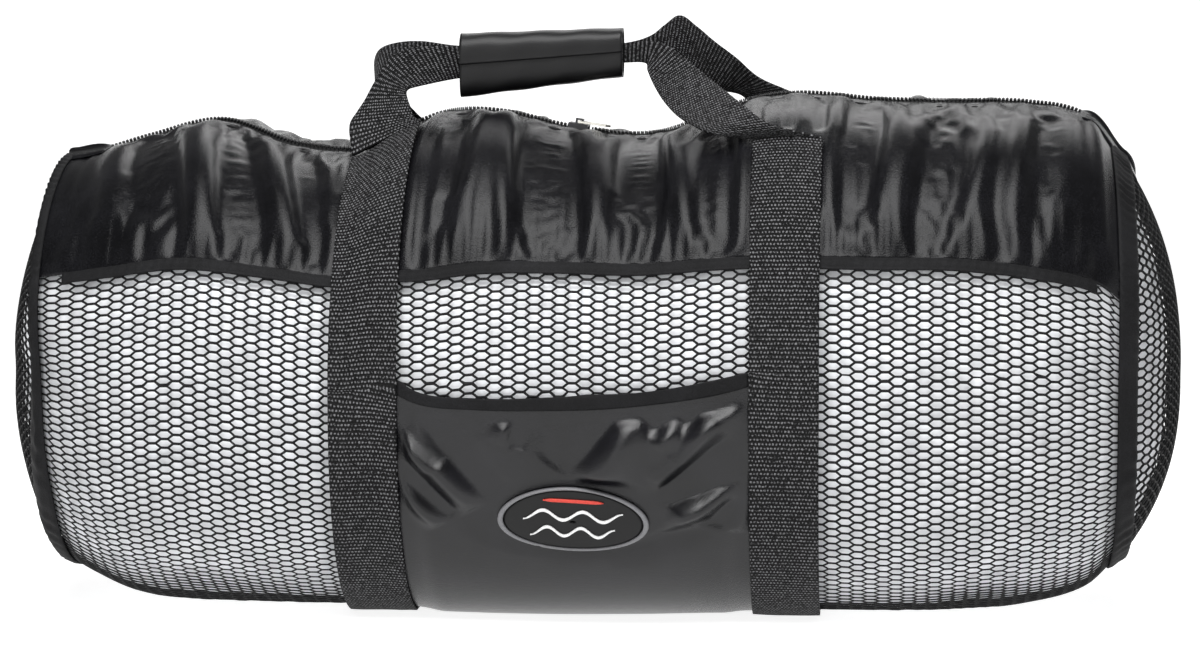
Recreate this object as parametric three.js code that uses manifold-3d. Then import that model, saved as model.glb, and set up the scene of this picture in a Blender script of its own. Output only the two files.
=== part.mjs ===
// A horizontal barrel bag of black nylon and open net, stuffed so that it stands round.
// Millimetres, +X to the bag's right, -Y to its front, +Z up, origin under the bag's middle on the floor.
import * as THREE from 'three';
import Module from 'manifold-3d';

const wasm = await Module();
wasm.setup();

// Driving dimensions
const BODY_LENGTH = 795;
const BODY_HEIGHT = 384;
const BODY_DEPTH = 388;
const END_BULGE = 45;
const END_MIDDLE = 0.46;
const CLEARANCE = 0.7;

// Cloth and net
const NYLON_THICKNESS = 1.2;
const NET_THICKNESS = 1.6;
const HEM_WIDTH = 9;
const FOLD_HEIGHT = 7;
const DENT_DEPTH = 16;
const BINDING_WIDTH = 10;
const BINDING_THICKNESS = 3;
const PLEAT_HIGH = 1.25;
const PLEAT_LOW = 0.85;

// Webbing
const WEBBING_WIDTH = 50;
const WEBBING_THICKNESS = 2;
const STRAP_SPACING = 302;
const STRAP_PINCH = 4;
const HANDLE_RISE = 58;
const WRAP_LENGTH = 124;
const WRAP_THICKNESS = 2.4;
const WRAP_DEPTH = 19;

// Zip
const ZIP_OPENING = 15;
const TAPE_WIDTH = 30;
const TAPE_THICKNESS = 1;
const CHAIN_WIDTH = 6.4;
const CHAIN_HEIGHT = 2.8;
const SLIDER_LENGTH = 15;
const PULL_LENGTH = 24;
const PULL_WIDTH = 9;
const PULL_THICKNESS = 1.4;
const TAB_LENGTH = 62;

// Pocket and badge
const POCKET_SAG = 14;
const BADGE_LENGTH = 109;
const BADGE_WIDTH = 50;
const BADGE_THICKNESS = 2.4;
const BADGE_RIM = 2.6;
const BADGE_TILT = 3;
const MOTIF_HEIGHT = 0.8;
const MOTIF_STROKE = 2.2;

// Packing
const PACKING_THICKNESS = 2;
const PACKING_GAP = 5;

const HALF_LENGTH = BODY_LENGTH / 2;
const HALF_DEPTH = BODY_DEPTH / 2;
const STRAP_INNER = (STRAP_SPACING - WEBBING_WIDTH) / 2;
const STRAP_OUTER = (STRAP_SPACING + WEBBING_WIDTH) / 2;

// How far each layer lies outside the cloth's outer face
const PATCH_LIFT = CLEARANCE;
const PATCH_TOP = PATCH_LIFT + NYLON_THICKNESS;
const STRAP_LIFT = PATCH_TOP + CLEARANCE;
const STRAP_TOP = STRAP_LIFT + WEBBING_THICKNESS;

// Sections along the bag. at is a share of the half length; crown and keel are shares of the height;
// depth is a share of the half depth; drift and hem are the angles of zip and hem round the section.
const SECTIONS = [
  { at: -1.0, crown: 0.879, keel: 0.09, depth: 0.76, drift: 0, hem: 63 },
  { at: -0.95, crown: 0.888, keel: 0.061, depth: 0.83, drift: 0, hem: 62 },
  { at: -0.86, crown: 0.919, keel: 0.023, depth: 0.92, drift: 0, hem: 61.5 },
  { at: -0.72, crown: 0.952, keel: 0.002, depth: 0.97, drift: 2, hem: 61.5 },
  { at: -0.566, crown: 0.917, keel: 0.003, depth: 1.0, drift: 10, hem: 60 },
  { at: -0.43, crown: 0.912, keel: 0.004, depth: 1.0, drift: 9, hem: 61.5 },
  { at: -0.363, crown: 0.946, keel: 0.004, depth: 0.995, drift: 4, hem: 63.5 },
  { at: -0.276, crown: 0.974, keel: 0, depth: 1.0, drift: 0, hem: 65.5 },
  { at: -0.17, crown: 0.969, keel: 0, depth: 1.0, drift: 0, hem: 63.5 },
  { at: -0.036, crown: 0.939, keel: 0, depth: 1.0, drift: 2, hem: 60.5 },
  { at: 0.128, crown: 0.93, keel: 0, depth: 1.0, drift: 3, hem: 60 },
  { at: 0.302, crown: 1.0, keel: 0.002, depth: 1.0, drift: 0, hem: 64.5 },
  { at: 0.398, crown: 1.016, keel: 0, depth: 1.0, drift: 0, hem: 65.5 },
  { at: 0.543, crown: 0.998, keel: 0, depth: 1.0, drift: 4, hem: 64.5 },
  { at: 0.687, crown: 0.995, keel: 0, depth: 0.99, drift: 6, hem: 64.5 },
  { at: 0.83, crown: 0.99, keel: 0.022, depth: 0.95, drift: 3, hem: 67 },
  { at: 0.94, crown: 0.962, keel: 0.056, depth: 0.86, drift: 0, hem: 69.5 },
  { at: 1.0, crown: 0.885, keel: 0.115, depth: 0.78, drift: 0, hem: 71.5 },
];
// The section is an oval, squarer below than above, that sinks a little into the floor.
const LOWER_ROUNDNESS = 0.78;
const FLOOR_SINK = 0.026;

// Puckers of the yokes. at is a share of the half length; lean is its drift down the yoke; width and
// height are shares of the webbing's width and of the fold height; from and to run from zip to hem.
const FRONT_FOLDS = [
  { at: -0.883, lean: 0.05, width: 0.5, height: -0.5, from: 0.1, to: 0.9 },
  { at: -0.797, lean: 0.1, width: 0.5, height: 0.6, from: 0, to: 0.8 },
  { at: -0.681, lean: 0.14, width: 0.45, height: -0.8, from: 0.1, to: 0.8 },
  { at: -0.585, lean: 0.12, width: 0.4, height: 0.8, from: 0, to: 0.7 },
  { at: -0.498, lean: 0.02, width: 0.35, height: -1.0, from: 0.15, to: 1 },
  { at: -0.257, lean: -0.03, width: 0.35, height: 0.7, from: 0, to: 0.9 },
  { at: -0.18, lean: -0.02, width: 0.35, height: -1.0, from: 0.1, to: 0.8 },
  { at: -0.093, lean: 0.01, width: 0.35, height: 0.9, from: 0, to: 0.9 },
  { at: -0.007, lean: 0.02, width: 0.35, height: -0.9, from: 0.1, to: 0.9 },
  { at: 0.09, lean: 0.02, width: 0.4, height: 0.8, from: 0.1, to: 0.9 },
  { at: 0.186, lean: 0.0, width: 0.35, height: -0.7, from: 0.3, to: 1 },
  { at: 0.514, lean: 0.06, width: 0.4, height: -0.8, from: 0.3, to: 1 },
  { at: 0.61, lean: 0.12, width: 0.45, height: 0.9, from: 0.1, to: 0.9 },
  { at: 0.706, lean: 0.1, width: 0.45, height: -0.9, from: 0.2, to: 1 },
  { at: 0.812, lean: 0.0, width: 0.5, height: 0.8, from: 0.1, to: 0.9 },
  { at: 0.909, lean: -0.05, width: 0.4, height: -0.7, from: 0.2, to: 0.9 },
];
const BACK_FOLDS = [
  { at: -0.778, lean: 0.05, width: 0.5, height: 0.7, from: 0, to: 0.9 },
  { at: -0.623, lean: 0.08, width: 0.45, height: -0.8, from: 0.1, to: 0.9 },
  { at: -0.508, lean: 0.04, width: 0.4, height: 0.6, from: 0, to: 0.8 },
  { at: -0.199, lean: 0.02, width: 0.4, height: -0.9, from: 0.1, to: 0.9 },
  { at: -0.065, lean: 0.0, width: 0.4, height: 0.8, from: 0, to: 0.9 },
  { at: 0.07, lean: -0.02, width: 0.4, height: -0.8, from: 0.1, to: 0.9 },
  { at: 0.205, lean: -0.03, width: 0.4, height: 0.7, from: 0, to: 0.8 },
  { at: 0.552, lean: -0.05, width: 0.4, height: -0.8, from: 0.1, to: 0.9 },
  { at: 0.687, lean: -0.06, width: 0.45, height: 0.8, from: 0, to: 0.9 },
  { at: 0.832, lean: -0.04, width: 0.5, height: -0.7, from: 0.1, to: 0.9 },
];

// Dents of the whole wall. at and length are shares of the half length; girth counts round the wall,
// 0 at the zip, 2 at the hem and 3 under the bag, less than 0 behind; depth is a share of DENT_DEPTH.
const DENTS = [
  { at: -1.0, girth: 2.23, length: 0.1, reach: 0.13, depth: 0.9 },
  { at: 1.0, girth: 2.2, length: 0.09, reach: 0.16, depth: 0.7 },
  { at: -1.0, girth: -2.25, length: 0.1, reach: 0.14, depth: 0.7 },
  { at: 1.0, girth: -2.3, length: 0.1, reach: 0.14, depth: 0.8 },
  { at: -0.7, girth: 2.75, length: 0.12, reach: 0.1, depth: 0.25 },
  { at: 0.72, girth: 2.78, length: 0.1, reach: 0.1, depth: 0.25 },
];

// Girths: 0 at the crown, then these to the front, the same below 0 behind, and the whole way round
const ZIP_EDGE = 1;
const HEM = 2;
const KEEL = 3;
const ALL_ROUND = 6;
const BACK_HEM = ALL_ROUND - HEM;
const BACK_ZIP_EDGE = ALL_ROUND - ZIP_EDGE;

// Girths of the pocket's corners and of its foot
const POCKET_TOP = 2.216;
const POCKET_FOOT = 2.95;

const ROWS = 6;
// How far the cloth lies flat on the floor, in girths from the keel
const FLOOR_REACH = 1 / ROWS;
const OUTER_COLUMNS = 8;
const MIDDLE_COLUMNS = 12;
const BLOCK_COLUMNS = 4;
const END_RINGS = [0, 0.34, 0.51, 0.68, 0.84, 1];

const { lerp, clamp, smoothstep, degToRad } = THREE.MathUtils;

/** The smooth value of a table's column at a place along it. */
function column(table, name, at) {
  const last = table.length - 1;
  if (at <= table[0].at) return table[0][name];
  if (at >= table[last].at) return table[last][name];
  let low = 0;
  while (table[low + 1].at < at) low += 1;
  const slope = (row) => {
    const before = table[Math.max(row - 1, 0)];
    const after = table[Math.min(row + 1, last)];
    return (after[name] - before[name]) / (after.at - before.at);
  };
  const span = table[low + 1].at - table[low].at;
  const t = (at - table[low].at) / span;
  const rise = table[low + 1][name] - table[low][name];
  const startPull = slope(low) * span * t * (1 - t) ** 2;
  const endPull = slope(low + 1) * span * t ** 2 * (t - 1);
  return table[low][name] + rise * t ** 2 * (3 - 2 * t) + startPull + endPull;
}

/** The angle round the section at a girth: 0 at the crown, positive to the front. */
function sectionAngle(at, girth) {
  const side = Math.sign(girth) || 1;
  const reach = Math.abs(girth);
  const drift = degToRad(column(SECTIONS, 'drift', at));
  const zipEdge = ZIP_OPENING / 2 / (HALF_DEPTH * column(SECTIONS, 'depth', at));
  const hem = degToRad(column(SECTIONS, 'hem', at));
  if (reach <= 1) return drift + girth * zipEdge;
  if (reach <= 2) return side * lerp(zipEdge + side * drift, hem, reach - 1);
  return side * lerp(hem, Math.PI, reach - 2);
}

const signedPower = (value, power) => Math.sign(value) * Math.abs(value) ** power;

/** How far a yoke's puckers lift it; they fade at the zip, the hem, the straps and the ends. */
function foldLift(x, girth) {
  const down = Math.abs(girth) - 1;
  if (down <= 0 || down >= 1) return 0;
  const offStrap = Math.max(STRAP_INNER - Math.abs(x), Math.abs(x) - STRAP_OUTER);
  const offEnd = HALF_LENGTH - Math.abs(x);
  const free = smoothstep(offStrap, 0, WEBBING_WIDTH / 2) * smoothstep(offEnd, 0, WEBBING_WIDTH);
  const table = girth > 0 ? FRONT_FOLDS : BACK_FOLDS;
  let lift = 0;
  for (const fold of table) {
    const along = (x / HALF_LENGTH - fold.at - fold.lean * down) * HALF_LENGTH;
    const across = Math.exp(-((along / (fold.width * WEBBING_WIDTH)) ** 2));
    const run = Math.sin(Math.PI * clamp((down - fold.from) / (fold.to - fold.from), 0, 1));
    lift += fold.height * FOLD_HEIGHT * across * run;
  }
  return lift * free;
}

/** How far the pinched seams and soft dents draw the wall in. */
function dentDepth(x, girth) {
  let depth = 0;
  for (const dent of DENTS) {
    const along = (x / HALF_LENGTH - dent.at) / dent.length;
    const around = (girth - dent.girth) / dent.reach;
    depth += dent.depth * DENT_DEPTH * Math.exp(-(along ** 2) - around ** 2);
  }
  const offStrap = (Math.abs(x) - STRAP_SPACING / 2) / WEBBING_WIDTH;
  const offFloor = smoothstep(KEEL - Math.abs(girth), FLOOR_REACH, 3 * FLOOR_REACH);
  return depth + STRAP_PINCH * Math.exp(-(offStrap ** 2)) * offFloor;
}

/** Girths past 3, under the bag, count on up its back. */
const wrap = (girth) => (girth > KEEL ? girth - ALL_ROUND : girth);

/** A point of the wall's outer face, folds taken as a share. */
function wallPoint(x, place, foldShare = 1) {
  const girth = wrap(place);
  const at = x / HALF_LENGTH;
  const crown = column(SECTIONS, 'crown', at) * BODY_HEIGHT;
  const keel = STRAP_TOP + (column(SECTIONS, 'keel', at) - FLOOR_SINK) * BODY_HEIGHT;
  const middle = (crown + keel) / 2;
  const angle = sectionAngle(at, girth);
  const round = Math.cos(angle) > 0 ? 1 : LOWER_ROUNDNESS;
  const swell = foldShare * foldLift(x, girth) - dentDepth(x, girth);
  const halfDepth = column(SECTIONS, 'depth', at) * HALF_DEPTH + swell;
  const halfHeight = (crown - keel) / 2 + swell;
  const y = -halfDepth * signedPower(Math.sin(angle), round);
  const z = middle + halfHeight * signedPower(Math.cos(angle), round);
  return new THREE.Vector3(x, y, Math.max(z, STRAP_TOP));
}

/** A point and outward normal of a surface given as a function of two numbers. */
function frameOf(surface, u, v, stepU, stepV, inside) {
  const point = surface(u, v);
  const alongU = surface(u + stepU, v).sub(surface(u - stepU, v));
  const alongV = surface(u, v + stepV).sub(surface(u, v - stepV));
  const normal = alongU.cross(alongV).normalize();
  if (normal.dot(point.clone().sub(inside)) < 0) normal.negate();
  return { point, normal };
}

// Small steps for slopes: in millimetres along the bag, and in girth or ring
const NUDGE = 0.5;
const SLIGHT = 0.004;

const BODY_MIDDLE = new THREE.Vector3(0, 0, BODY_HEIGHT / 2);
const insideAt = (x) => new THREE.Vector3(x, 0, BODY_MIDDLE.z);
const wall = (x, girth) => frameOf((u, v) => wallPoint(u, v), x, girth, NUDGE, SLIGHT, insideAt(x));

/** The two places of a rising list on either side of a value, and its share of the way. */
function between(places, value) {
  let low = 0;
  while (low + 2 < places.length && places[low + 1] < value) low += 1;
  const share = (value - places[low]) / (places[low + 1] - places[low]);
  return { low: places[low], high: places[low + 1], share };
}

const blend = (one, two, share) => ({
  point: one.point.clone().lerp(two.point, share),
  normal: one.normal.clone().lerp(two.normal, share).normalize(),
});

/** The wall's flat facet between the shared stations and rows, which patches and webbing lie on. */
function facet(x, girth) {
  const across = between(STATIONS, x);
  const around = between(GIRTHS, wrap(girth));
  const edge = (row) => blend(wall(across.low, row), wall(across.high, row), across.share);
  return blend(edge(around.low), edge(around.high), around.share);
}

/** The end panel's outer face: ring 1 is its rim, ring 0 its middle. */
function endPoint(side, ring, girth) {
  const rimPoint = wallPoint(side * HALF_LENGTH, girth);
  const middle = new THREE.Vector3(rimPoint.x, 0, BODY_HEIGHT * END_MIDDLE);
  const point = middle.lerp(rimPoint, ring);
  point.x += side * (NET_THICKNESS + CLEARANCE + END_BULGE * (1 - ring ** 2));
  return point;
}
const endPanel = (side, ring, girth) =>
  frameOf((u, v) => endPoint(side, u, v), ring, girth, SLIGHT, SLIGHT, BODY_MIDDLE);

/** The end panel's flat facet between its rings and the shared rows. */
function endFacet(side, ring, girth) {
  const across = between(END_RINGS, ring);
  const around = between(GIRTHS, wrap(girth));
  const at = (radius, row) => (radius === 0 ? endMiddle(side) : endPanel(side, radius, row));
  const edge = (row) => blend(at(across.low, row), at(across.high, row), across.share);
  return blend(edge(around.low), edge(around.high), around.share);
}

const endMiddle = (side) => ({ point: endPoint(side, 0, 0), normal: new THREE.Vector3(side, 0, 0) });

/** A frame that runs over the rim: reach is in millimetres, less than 0 on the body, more on the end. */
function rim(side, reach, girth) {
  const body = wall(side * HALF_LENGTH, girth);
  const end = endPanel(side, 1, girth);
  if (reach === 0) return { point: end.point, normal: end.normal.add(body.normal) };
  if (reach < 0) return facet(side * (HALF_LENGTH + reach), girth);
  return endFacet(side, 1 - reach / (HALF_DEPTH * SECTIONS[0].depth), girth);
}

/** Millimetres of arc for one step of girth near a place. */
function arcPerGirth(x, girth) {
  return wallPoint(x, girth + SLIGHT, 0).distanceTo(wallPoint(x, girth - SLIGHT, 0)) / (2 * SLIGHT);
}

/** Gives a sheet its thickness: cells are polygons of surface places, place gives point and normal. */
function thicken(cells, place, inner, outer) {
  const points = [];
  const ids = new Map();
  const liftAt = (lift, u, v) => (typeof lift === 'function' ? lift(u, v) : lift);
  const vertex = (u, v, lift) => {
    const { point, normal } = place(u, v);
    const spot = point.clone().addScaledVector(normal, liftAt(lift, u, v));
    const key = `${spot.x.toFixed(3)} ${spot.y.toFixed(3)} ${spot.z.toFixed(3)}`;
    if (!ids.has(key)) {
      ids.set(key, points.length);
      points.push(spot);
    }
    return ids.get(key);
  };
  const faces = [];
  const addFace = (a, b, c) => {
    if (a !== b && b !== c && c !== a) faces.push([a, b, c]);
  };
  const edges = new Map();
  for (const cell of cells) {
    const over = cell.map(([u, v]) => vertex(u, v, outer));
    const under = cell.map(([u, v]) => vertex(u, v, inner));
    for (let k = 1; k + 1 < cell.length; k += 1) {
      addFace(over[0], over[k], over[k + 1]);
      addFace(under[0], under[k + 1], under[k]);
    }
    over.forEach((start, k) => {
      const next = (k + 1) % over.length;
      if (start === over[next]) return;
      if (!edges.delete(`${over[next]} ${start}`)) {
        edges.set(`${start} ${over[next]}`, [start, over[next], under[k], under[next]]);
      }
    });
  }
  for (const [start, end, startUnder, endUnder] of edges.values()) {
    addFace(end, start, startUnder);
    addFace(end, startUnder, endUnder);
  }
  return solid(points, faces);
}

/** A geometry from points and faces, with its faces turned outwards. */
function solid(points, faces) {
  let volume = 0;
  for (const [a, b, c] of faces) volume += points[a].dot(points[b].clone().cross(points[c]));
  const geometry = new THREE.BufferGeometry();
  geometry.setAttribute('position', new THREE.Float32BufferAttribute(points.flatMap((p) => p.toArray()), 3));
  geometry.setIndex(faces.flatMap(([a, b, c]) => (volume > 0 ? [a, b, c] : [a, c, b])));
  geometry.computeVertexNormals();
  return geometry;
}

const steps = (from, to, count) => Array.from({ length: count + 1 }, (_, k) => lerp(from, to, k / count));

/** Cells between neighbouring places, us along and vs across. */
function cellsOf(us, vs) {
  const cells = [];
  for (let i = 0; i + 1 < us.length; i += 1) {
    for (let j = 0; j + 1 < vs.length; j += 1) {
      cells.push([[us[i], vs[j]], [us[i + 1], vs[j]], [us[i + 1], vs[j + 1]], [us[i], vs[j + 1]]]);
    }
  }
  return cells;
}

// The corners of a hexagonal gap, as shares of the half sizes of the block of net that it is cut from
const GAP = [[-0.84, 0], [-0.5, -0.78], [0.5, -0.78], [0.84, 0], [0.5, 0.78], [-0.5, 0.78]];

/** The faces round one gap of the net. us and vs are the places of the block's cells each way. */
function netBlock(us, vs) {
  const [lowU, highU, lowV, highV] = [us[0], us.at(-1), vs[0], vs.at(-1)];
  const turnOf = ([u, v]) => {
    const across = (2 * (u - lowU)) / (highU - lowU) - 1;
    const up = (2 * (v - lowV)) / (highV - lowV) - 1;
    return (Math.atan2(up, across) + 3 * Math.PI) % (2 * Math.PI);
  };
  const border = [
    ...us.slice(0, -1).map((u) => [u, lowV]), ...vs.slice(0, -1).map((v) => [highU, v]),
    ...us.slice(1).reverse().map((u) => [u, highV]), ...vs.slice(1).reverse().map((v) => [lowU, v]),
  ];
  const gap = GAP.map(([u, v]) => [lerp(lowU, highU, (u + 1) / 2), lerp(lowV, highV, (v + 1) / 2)]);
  const byTurn = (one, two) => turnOf(one) - turnOf(two);
  border.sort(byTurn);
  gap.sort(byTurn);
  const faces = [];
  let outer = 0;
  let inner = 0;
  const turnAt = (loop, k) => turnOf(loop[k % loop.length]) + (k >= loop.length ? 2 * Math.PI : 0);
  while (outer < border.length || inner < gap.length) {
    const start = border[outer % border.length];
    const corner = gap[inner % gap.length];
    const outerIsNext = turnAt(border, outer + 1) <= turnAt(gap, inner + 1);
    if (inner === gap.length || (outer < border.length && outerIsNext)) {
      outer += 1;
      faces.push([start, border[outer % border.length], corner]);
    } else {
      inner += 1;
      faces.push([start, gap[inner % gap.length], corner]);
    }
  }
  return faces;
}

/** Net over a run of columns and one row. Odd rows start and end with half a block, left whole at a rim. */
function netRun(us, vs, odd) {
  const cells = [];
  let start = 0;
  let width = odd ? BLOCK_COLUMNS / 2 : BLOCK_COLUMNS;
  while (start + 1 < us.length) {
    const block = us.slice(start, start + width + 1);
    const atRim = odd && Math.max(-block[0], block.at(-1)) === HALF_LENGTH;
    cells.push(...(atRim ? cellsOf(block, vs) : netBlock(block, vs)));
    start += width;
    width = BLOCK_COLUMNS;
  }
  return cells;
}

const LEFT_STATIONS = steps(-HALF_LENGTH, -STRAP_OUTER, OUTER_COLUMNS);
const MIDDLE_STATIONS = steps(-STRAP_INNER, STRAP_INNER, MIDDLE_COLUMNS);
const RIGHT_STATIONS = steps(STRAP_OUTER, HALF_LENGTH, OUTER_COLUMNS);
const STATIONS = [...LEFT_STATIONS, ...MIDDLE_STATIONS, ...RIGHT_STATIONS];
const GIRTHS = [...steps(-KEEL, -ZIP_EDGE, 2 * ROWS), 0, ...steps(ZIP_EDGE, KEEL, 2 * ROWS)];
const UNDER_STRAPS = [-STRAP_OUTER, ...MIDDLE_STATIONS, STRAP_OUTER];
const SEAM = CLEARANCE / 2 / arcPerGirth(0, 2);
const NEXT_TO_SEAM = 0.5 / ROWS;

const cloth = (color, roughness) => new THREE.MeshStandardMaterial({ color, roughness, metalness: 0 });
const NYLON = cloth(0x1d1c20, 0.45);
const NET = cloth(0x17171a, 0.8);
const WEBBING = cloth(0x151517, 0.85);
const GRIP = cloth(0x1a1a1c, 0.7);
const ZIP_CLOTH = cloth(0x131315, 0.85);
const COIL = cloth(0x0c0c0d, 0.35);
const SLIDER_METAL = new THREE.MeshStandardMaterial({ color: 0x2a2a2c, roughness: 0.35, metalness: 0.9 });
const PULL_METAL = new THREE.MeshStandardMaterial({ color: 0xb9b4a6, roughness: 0.3, metalness: 0.9 });
const BADGE_RUBBER = cloth(0x101012, 0.5);
const RIM_RUBBER = cloth(0x9b9ca0, 0.5);
const WHITE_RUBBER = cloth(0xf0f0f0, 0.5);
const RED_RUBBER = cloth(0xb5332c, 0.5);
const PACKING = cloth(0xe9ecf2, 0.7);

const bag = new THREE.Group();

function add(name, geometry, material, parent = bag) {
  const mesh = new THREE.Mesh(geometry, material);
  mesh.name = name;
  parent.add(mesh);
  return mesh;
}

function addYokes() {
  const rows = steps(ZIP_EDGE, HEM - SEAM, ROWS);
  add('front_yoke', thicken(cellsOf(STATIONS, rows), wall, -NYLON_THICKNESS, 0), NYLON);
  add('back_yoke', thicken(cellsOf(STATIONS, rows.map((g) => -g)), wall, -NYLON_THICKNESS, 0), NYLON);
}

function addBodyNet() {
  const rows = [...steps(HEM + SEAM, KEEL, ROWS), ...steps(KEEL, BACK_HEM - SEAM, ROWS).slice(1)];
  const cells = [];
  for (let row = 0; row + 1 < rows.length; row += 1) {
    const vs = rows.slice(row, row + 2);
    const odd = row % 2 === 1;
    const behindPocket = rows[row] > POCKET_TOP && rows[row] < KEEL;
    cells.push(...netRun(LEFT_STATIONS, vs, odd));
    cells.push(...cellsOf([-STRAP_OUTER, -STRAP_INNER], vs));
    cells.push(...(behindPocket ? cellsOf(MIDDLE_STATIONS, vs) : netRun(MIDDLE_STATIONS, vs, odd)));
    cells.push(...cellsOf([STRAP_INNER, STRAP_OUTER], vs));
    cells.push(...netRun(RIGHT_STATIONS, vs, odd));
  }
  add('body_net', thicken(cells, facet, -NET_THICKNESS, 0), NET);
}

// Girths all the way round an end, in the rows of the body
const ROUND = [0, ...steps(ZIP_EDGE, BACK_ZIP_EDGE, 4 * ROWS), ALL_ROUND];
const TAB_GIRTH = 1.15;

function addEnd(name, side) {
  const cells = [];
  cells.push(...cellsOf(END_RINGS, ROUND.slice(0, 2)), ...cellsOf(END_RINGS, ROUND.slice(-2)));
  cells.push(...cellsOf(END_RINGS.slice(0, 2), ROUND.slice(1, -1)));
  for (let k = 1; k + 2 < ROUND.length; k += 2) {
    cells.push(...netBlock(END_RINGS.slice(3, 6), ROUND.slice(k, k + 3)));
    if (k % 4 === 1) cells.push(...netBlock(END_RINGS.slice(1, 4), ROUND.slice(k, k + 5)));
  }
  const place = (ring, girth) => endFacet(side, ring, girth);
  add(`${name}_end_net`, thicken(cells, place, -NET_THICKNESS, 0), NET);

  const gather = (reach, girth) => {
    const pleat = ROUND.indexOf(girth) % 2 === 0 ? PLEAT_HIGH : PLEAT_LOW;
    return 2 * CLEARANCE + BINDING_THICKNESS * (reach === 0 ? 1 : pleat);
  };
  const band = cellsOf([-BINDING_WIDTH, 0, BINDING_WIDTH], ROUND);
  add(`${name}_end_binding`, thicken(band, (u, v) => rim(side, u, v), 2 * CLEARANCE, gather), NYLON);

  const tabFoot = 3 * CLEARANCE + PLEAT_HIGH * BINDING_THICKNESS;
  const tabTop = tabFoot + NYLON_THICKNESS;
  const tab = cellsOf(steps(-TAB_LENGTH / 2, TAB_LENGTH / 2, 4), [-TAB_GIRTH, 0, TAB_GIRTH]);
  add(`${name}_zip_tab`, thicken(tab, (u, v) => rim(side, u, v), tabFoot, tabTop), NYLON);
}

function addHems() {
  const share = HEM_WIDTH / arcPerGirth(0, 2 + NEXT_TO_SEAM);
  const bands = { front_hem: [HEM, HEM + share], back_hem: [BACK_HEM - share, BACK_HEM] };
  for (const [name, rows] of Object.entries(bands)) {
    const cells = cellsOf(STATIONS.slice(1, -1), rows);
    add(name, thicken(cells, facet, PATCH_LIFT, PATCH_TOP), NYLON);
  }
}

// The pocket's mouth is a slack curve between the straps
const POCKET_GRIP = arcPerGirth(0, POCKET_TOP);

function pocketMouth(x) {
  const across = clamp(x / STRAP_INNER, -1, 1);
  return POCKET_TOP + (POCKET_SAG / POCKET_GRIP) * (1 - across ** 2);
}

function addPocket() {
  const lower = steps(HEM, KEEL, ROWS).slice(3, -1);
  const level = (girth) => () => girth;
  const rows = [pocketMouth, level(HEM + 2 / ROWS), ...lower.map(level), level(POCKET_FOOT)];
  const place = (x, row) => facet(x, rows[row](x));
  const cells = cellsOf(UNDER_STRAPS, rows.map((_, k) => k));
  add('front_pocket', thicken(cells, place, PATCH_LIFT, PATCH_TOP), NYLON);

  const inner = STRAP_INNER - CLEARANCE;
  const stations = [-inner, ...MIDDLE_STATIONS.slice(1, -1), inner];
  const width = HEM_WIDTH / POCKET_GRIP;
  const hem = (x, share) => facet(x, pocketMouth(x) + share * width);
  const band = thicken(cellsOf(stations, [0, 1]), hem, STRAP_LIFT, STRAP_LIFT + NYLON_THICKNESS);
  add('pocket_hem', band, NYLON);
}

// Where the webbing leaves the bag, in rows down the yoke, at the front and the back of each strap
const CREST_ROWS = { left_front: 1, right_front: 3, left_back: 2, right_back: 2 };

function addStraps() {
  const sides = [['left', [-STRAP_OUTER, -STRAP_INNER]], ['right', [STRAP_INNER, STRAP_OUTER]]];
  for (const [name, edges] of sides) {
    const front = steps(ZIP_EDGE, HEM, ROWS).slice(CREST_ROWS[`${name}_front`]);
    const back = steps(-HEM, -ZIP_EDGE, ROWS).slice(0, ROWS + 1 - CREST_ROWS[`${name}_back`]);
    const rows = [...front, ...steps(HEM, BACK_HEM, 2 * ROWS).slice(1), ...back.slice(1)];
    add(`${name}_strap`, thicken(cellsOf(edges, rows), wall, STRAP_LIFT, STRAP_TOP), WEBBING);
  }
}

// Handles. Each row gives the outer and the inner edge of the webbing: x as a share of half the strap
// spacing, y as a share of the webbing width and z as a share of the handle's rise above the crown.
const FRONT_HANDLE = [
  { outer: [-1.2, -0.84, -0.36], inner: [-0.88, -0.82, -0.25] },
  { outer: [-1.17, -0.7, -0.2], inner: [-0.9, -0.68, -0.14] },
  { outer: [-1.14, -0.56, -0.06], inner: [-0.92, -0.56, -0.03] },
  { outer: [-1.1, -0.44, 0.16], inner: [-0.93, -0.46, 0.06] },
  { outer: [-1.06, -0.34, 0.34], inner: [-0.92, -0.38, 0.1] },
  { outer: [-1.02, -0.24, 0.5], inner: [-0.88, -0.28, 0.13] },
  { outer: [-0.94, -0.14, 0.62], inner: [-0.81, -0.16, 0.17] },
  { outer: [-0.78, -0.1, 0.66], inner: [-0.71, -0.1, 0.22] },
  { outer: [-0.6, -0.1, 0.66], inner: [-0.6, -0.1, 0.26] },
  { outer: [-0.26, -0.1, 0.67], inner: [-0.26, -0.1, 0.34] },
  { outer: [0.16, -0.1, 0.7], inner: [0.16, -0.1, 0.44] },
  { outer: [0.29, -0.13, 0.72], inner: [0.27, -0.13, 0.43] },
  { outer: [0.38, -0.2, 0.66], inner: [0.28, -0.24, 0.34] },
  { outer: [0.47, -0.36, 0.5], inner: [0.31, -0.46, 0.18] },
  { outer: [0.58, -0.8, 0.28], inner: [0.37, -0.95, -0.03] },
  { outer: [0.68, -1.3, 0.1], inner: [0.45, -1.42, -0.22] },
  { outer: [0.79, -1.85, -0.1], inner: [0.53, -1.8, -0.33] },
  { outer: [0.91, -2.25, -0.3], inner: [0.62, -2.1, -0.42] },
];
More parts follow.
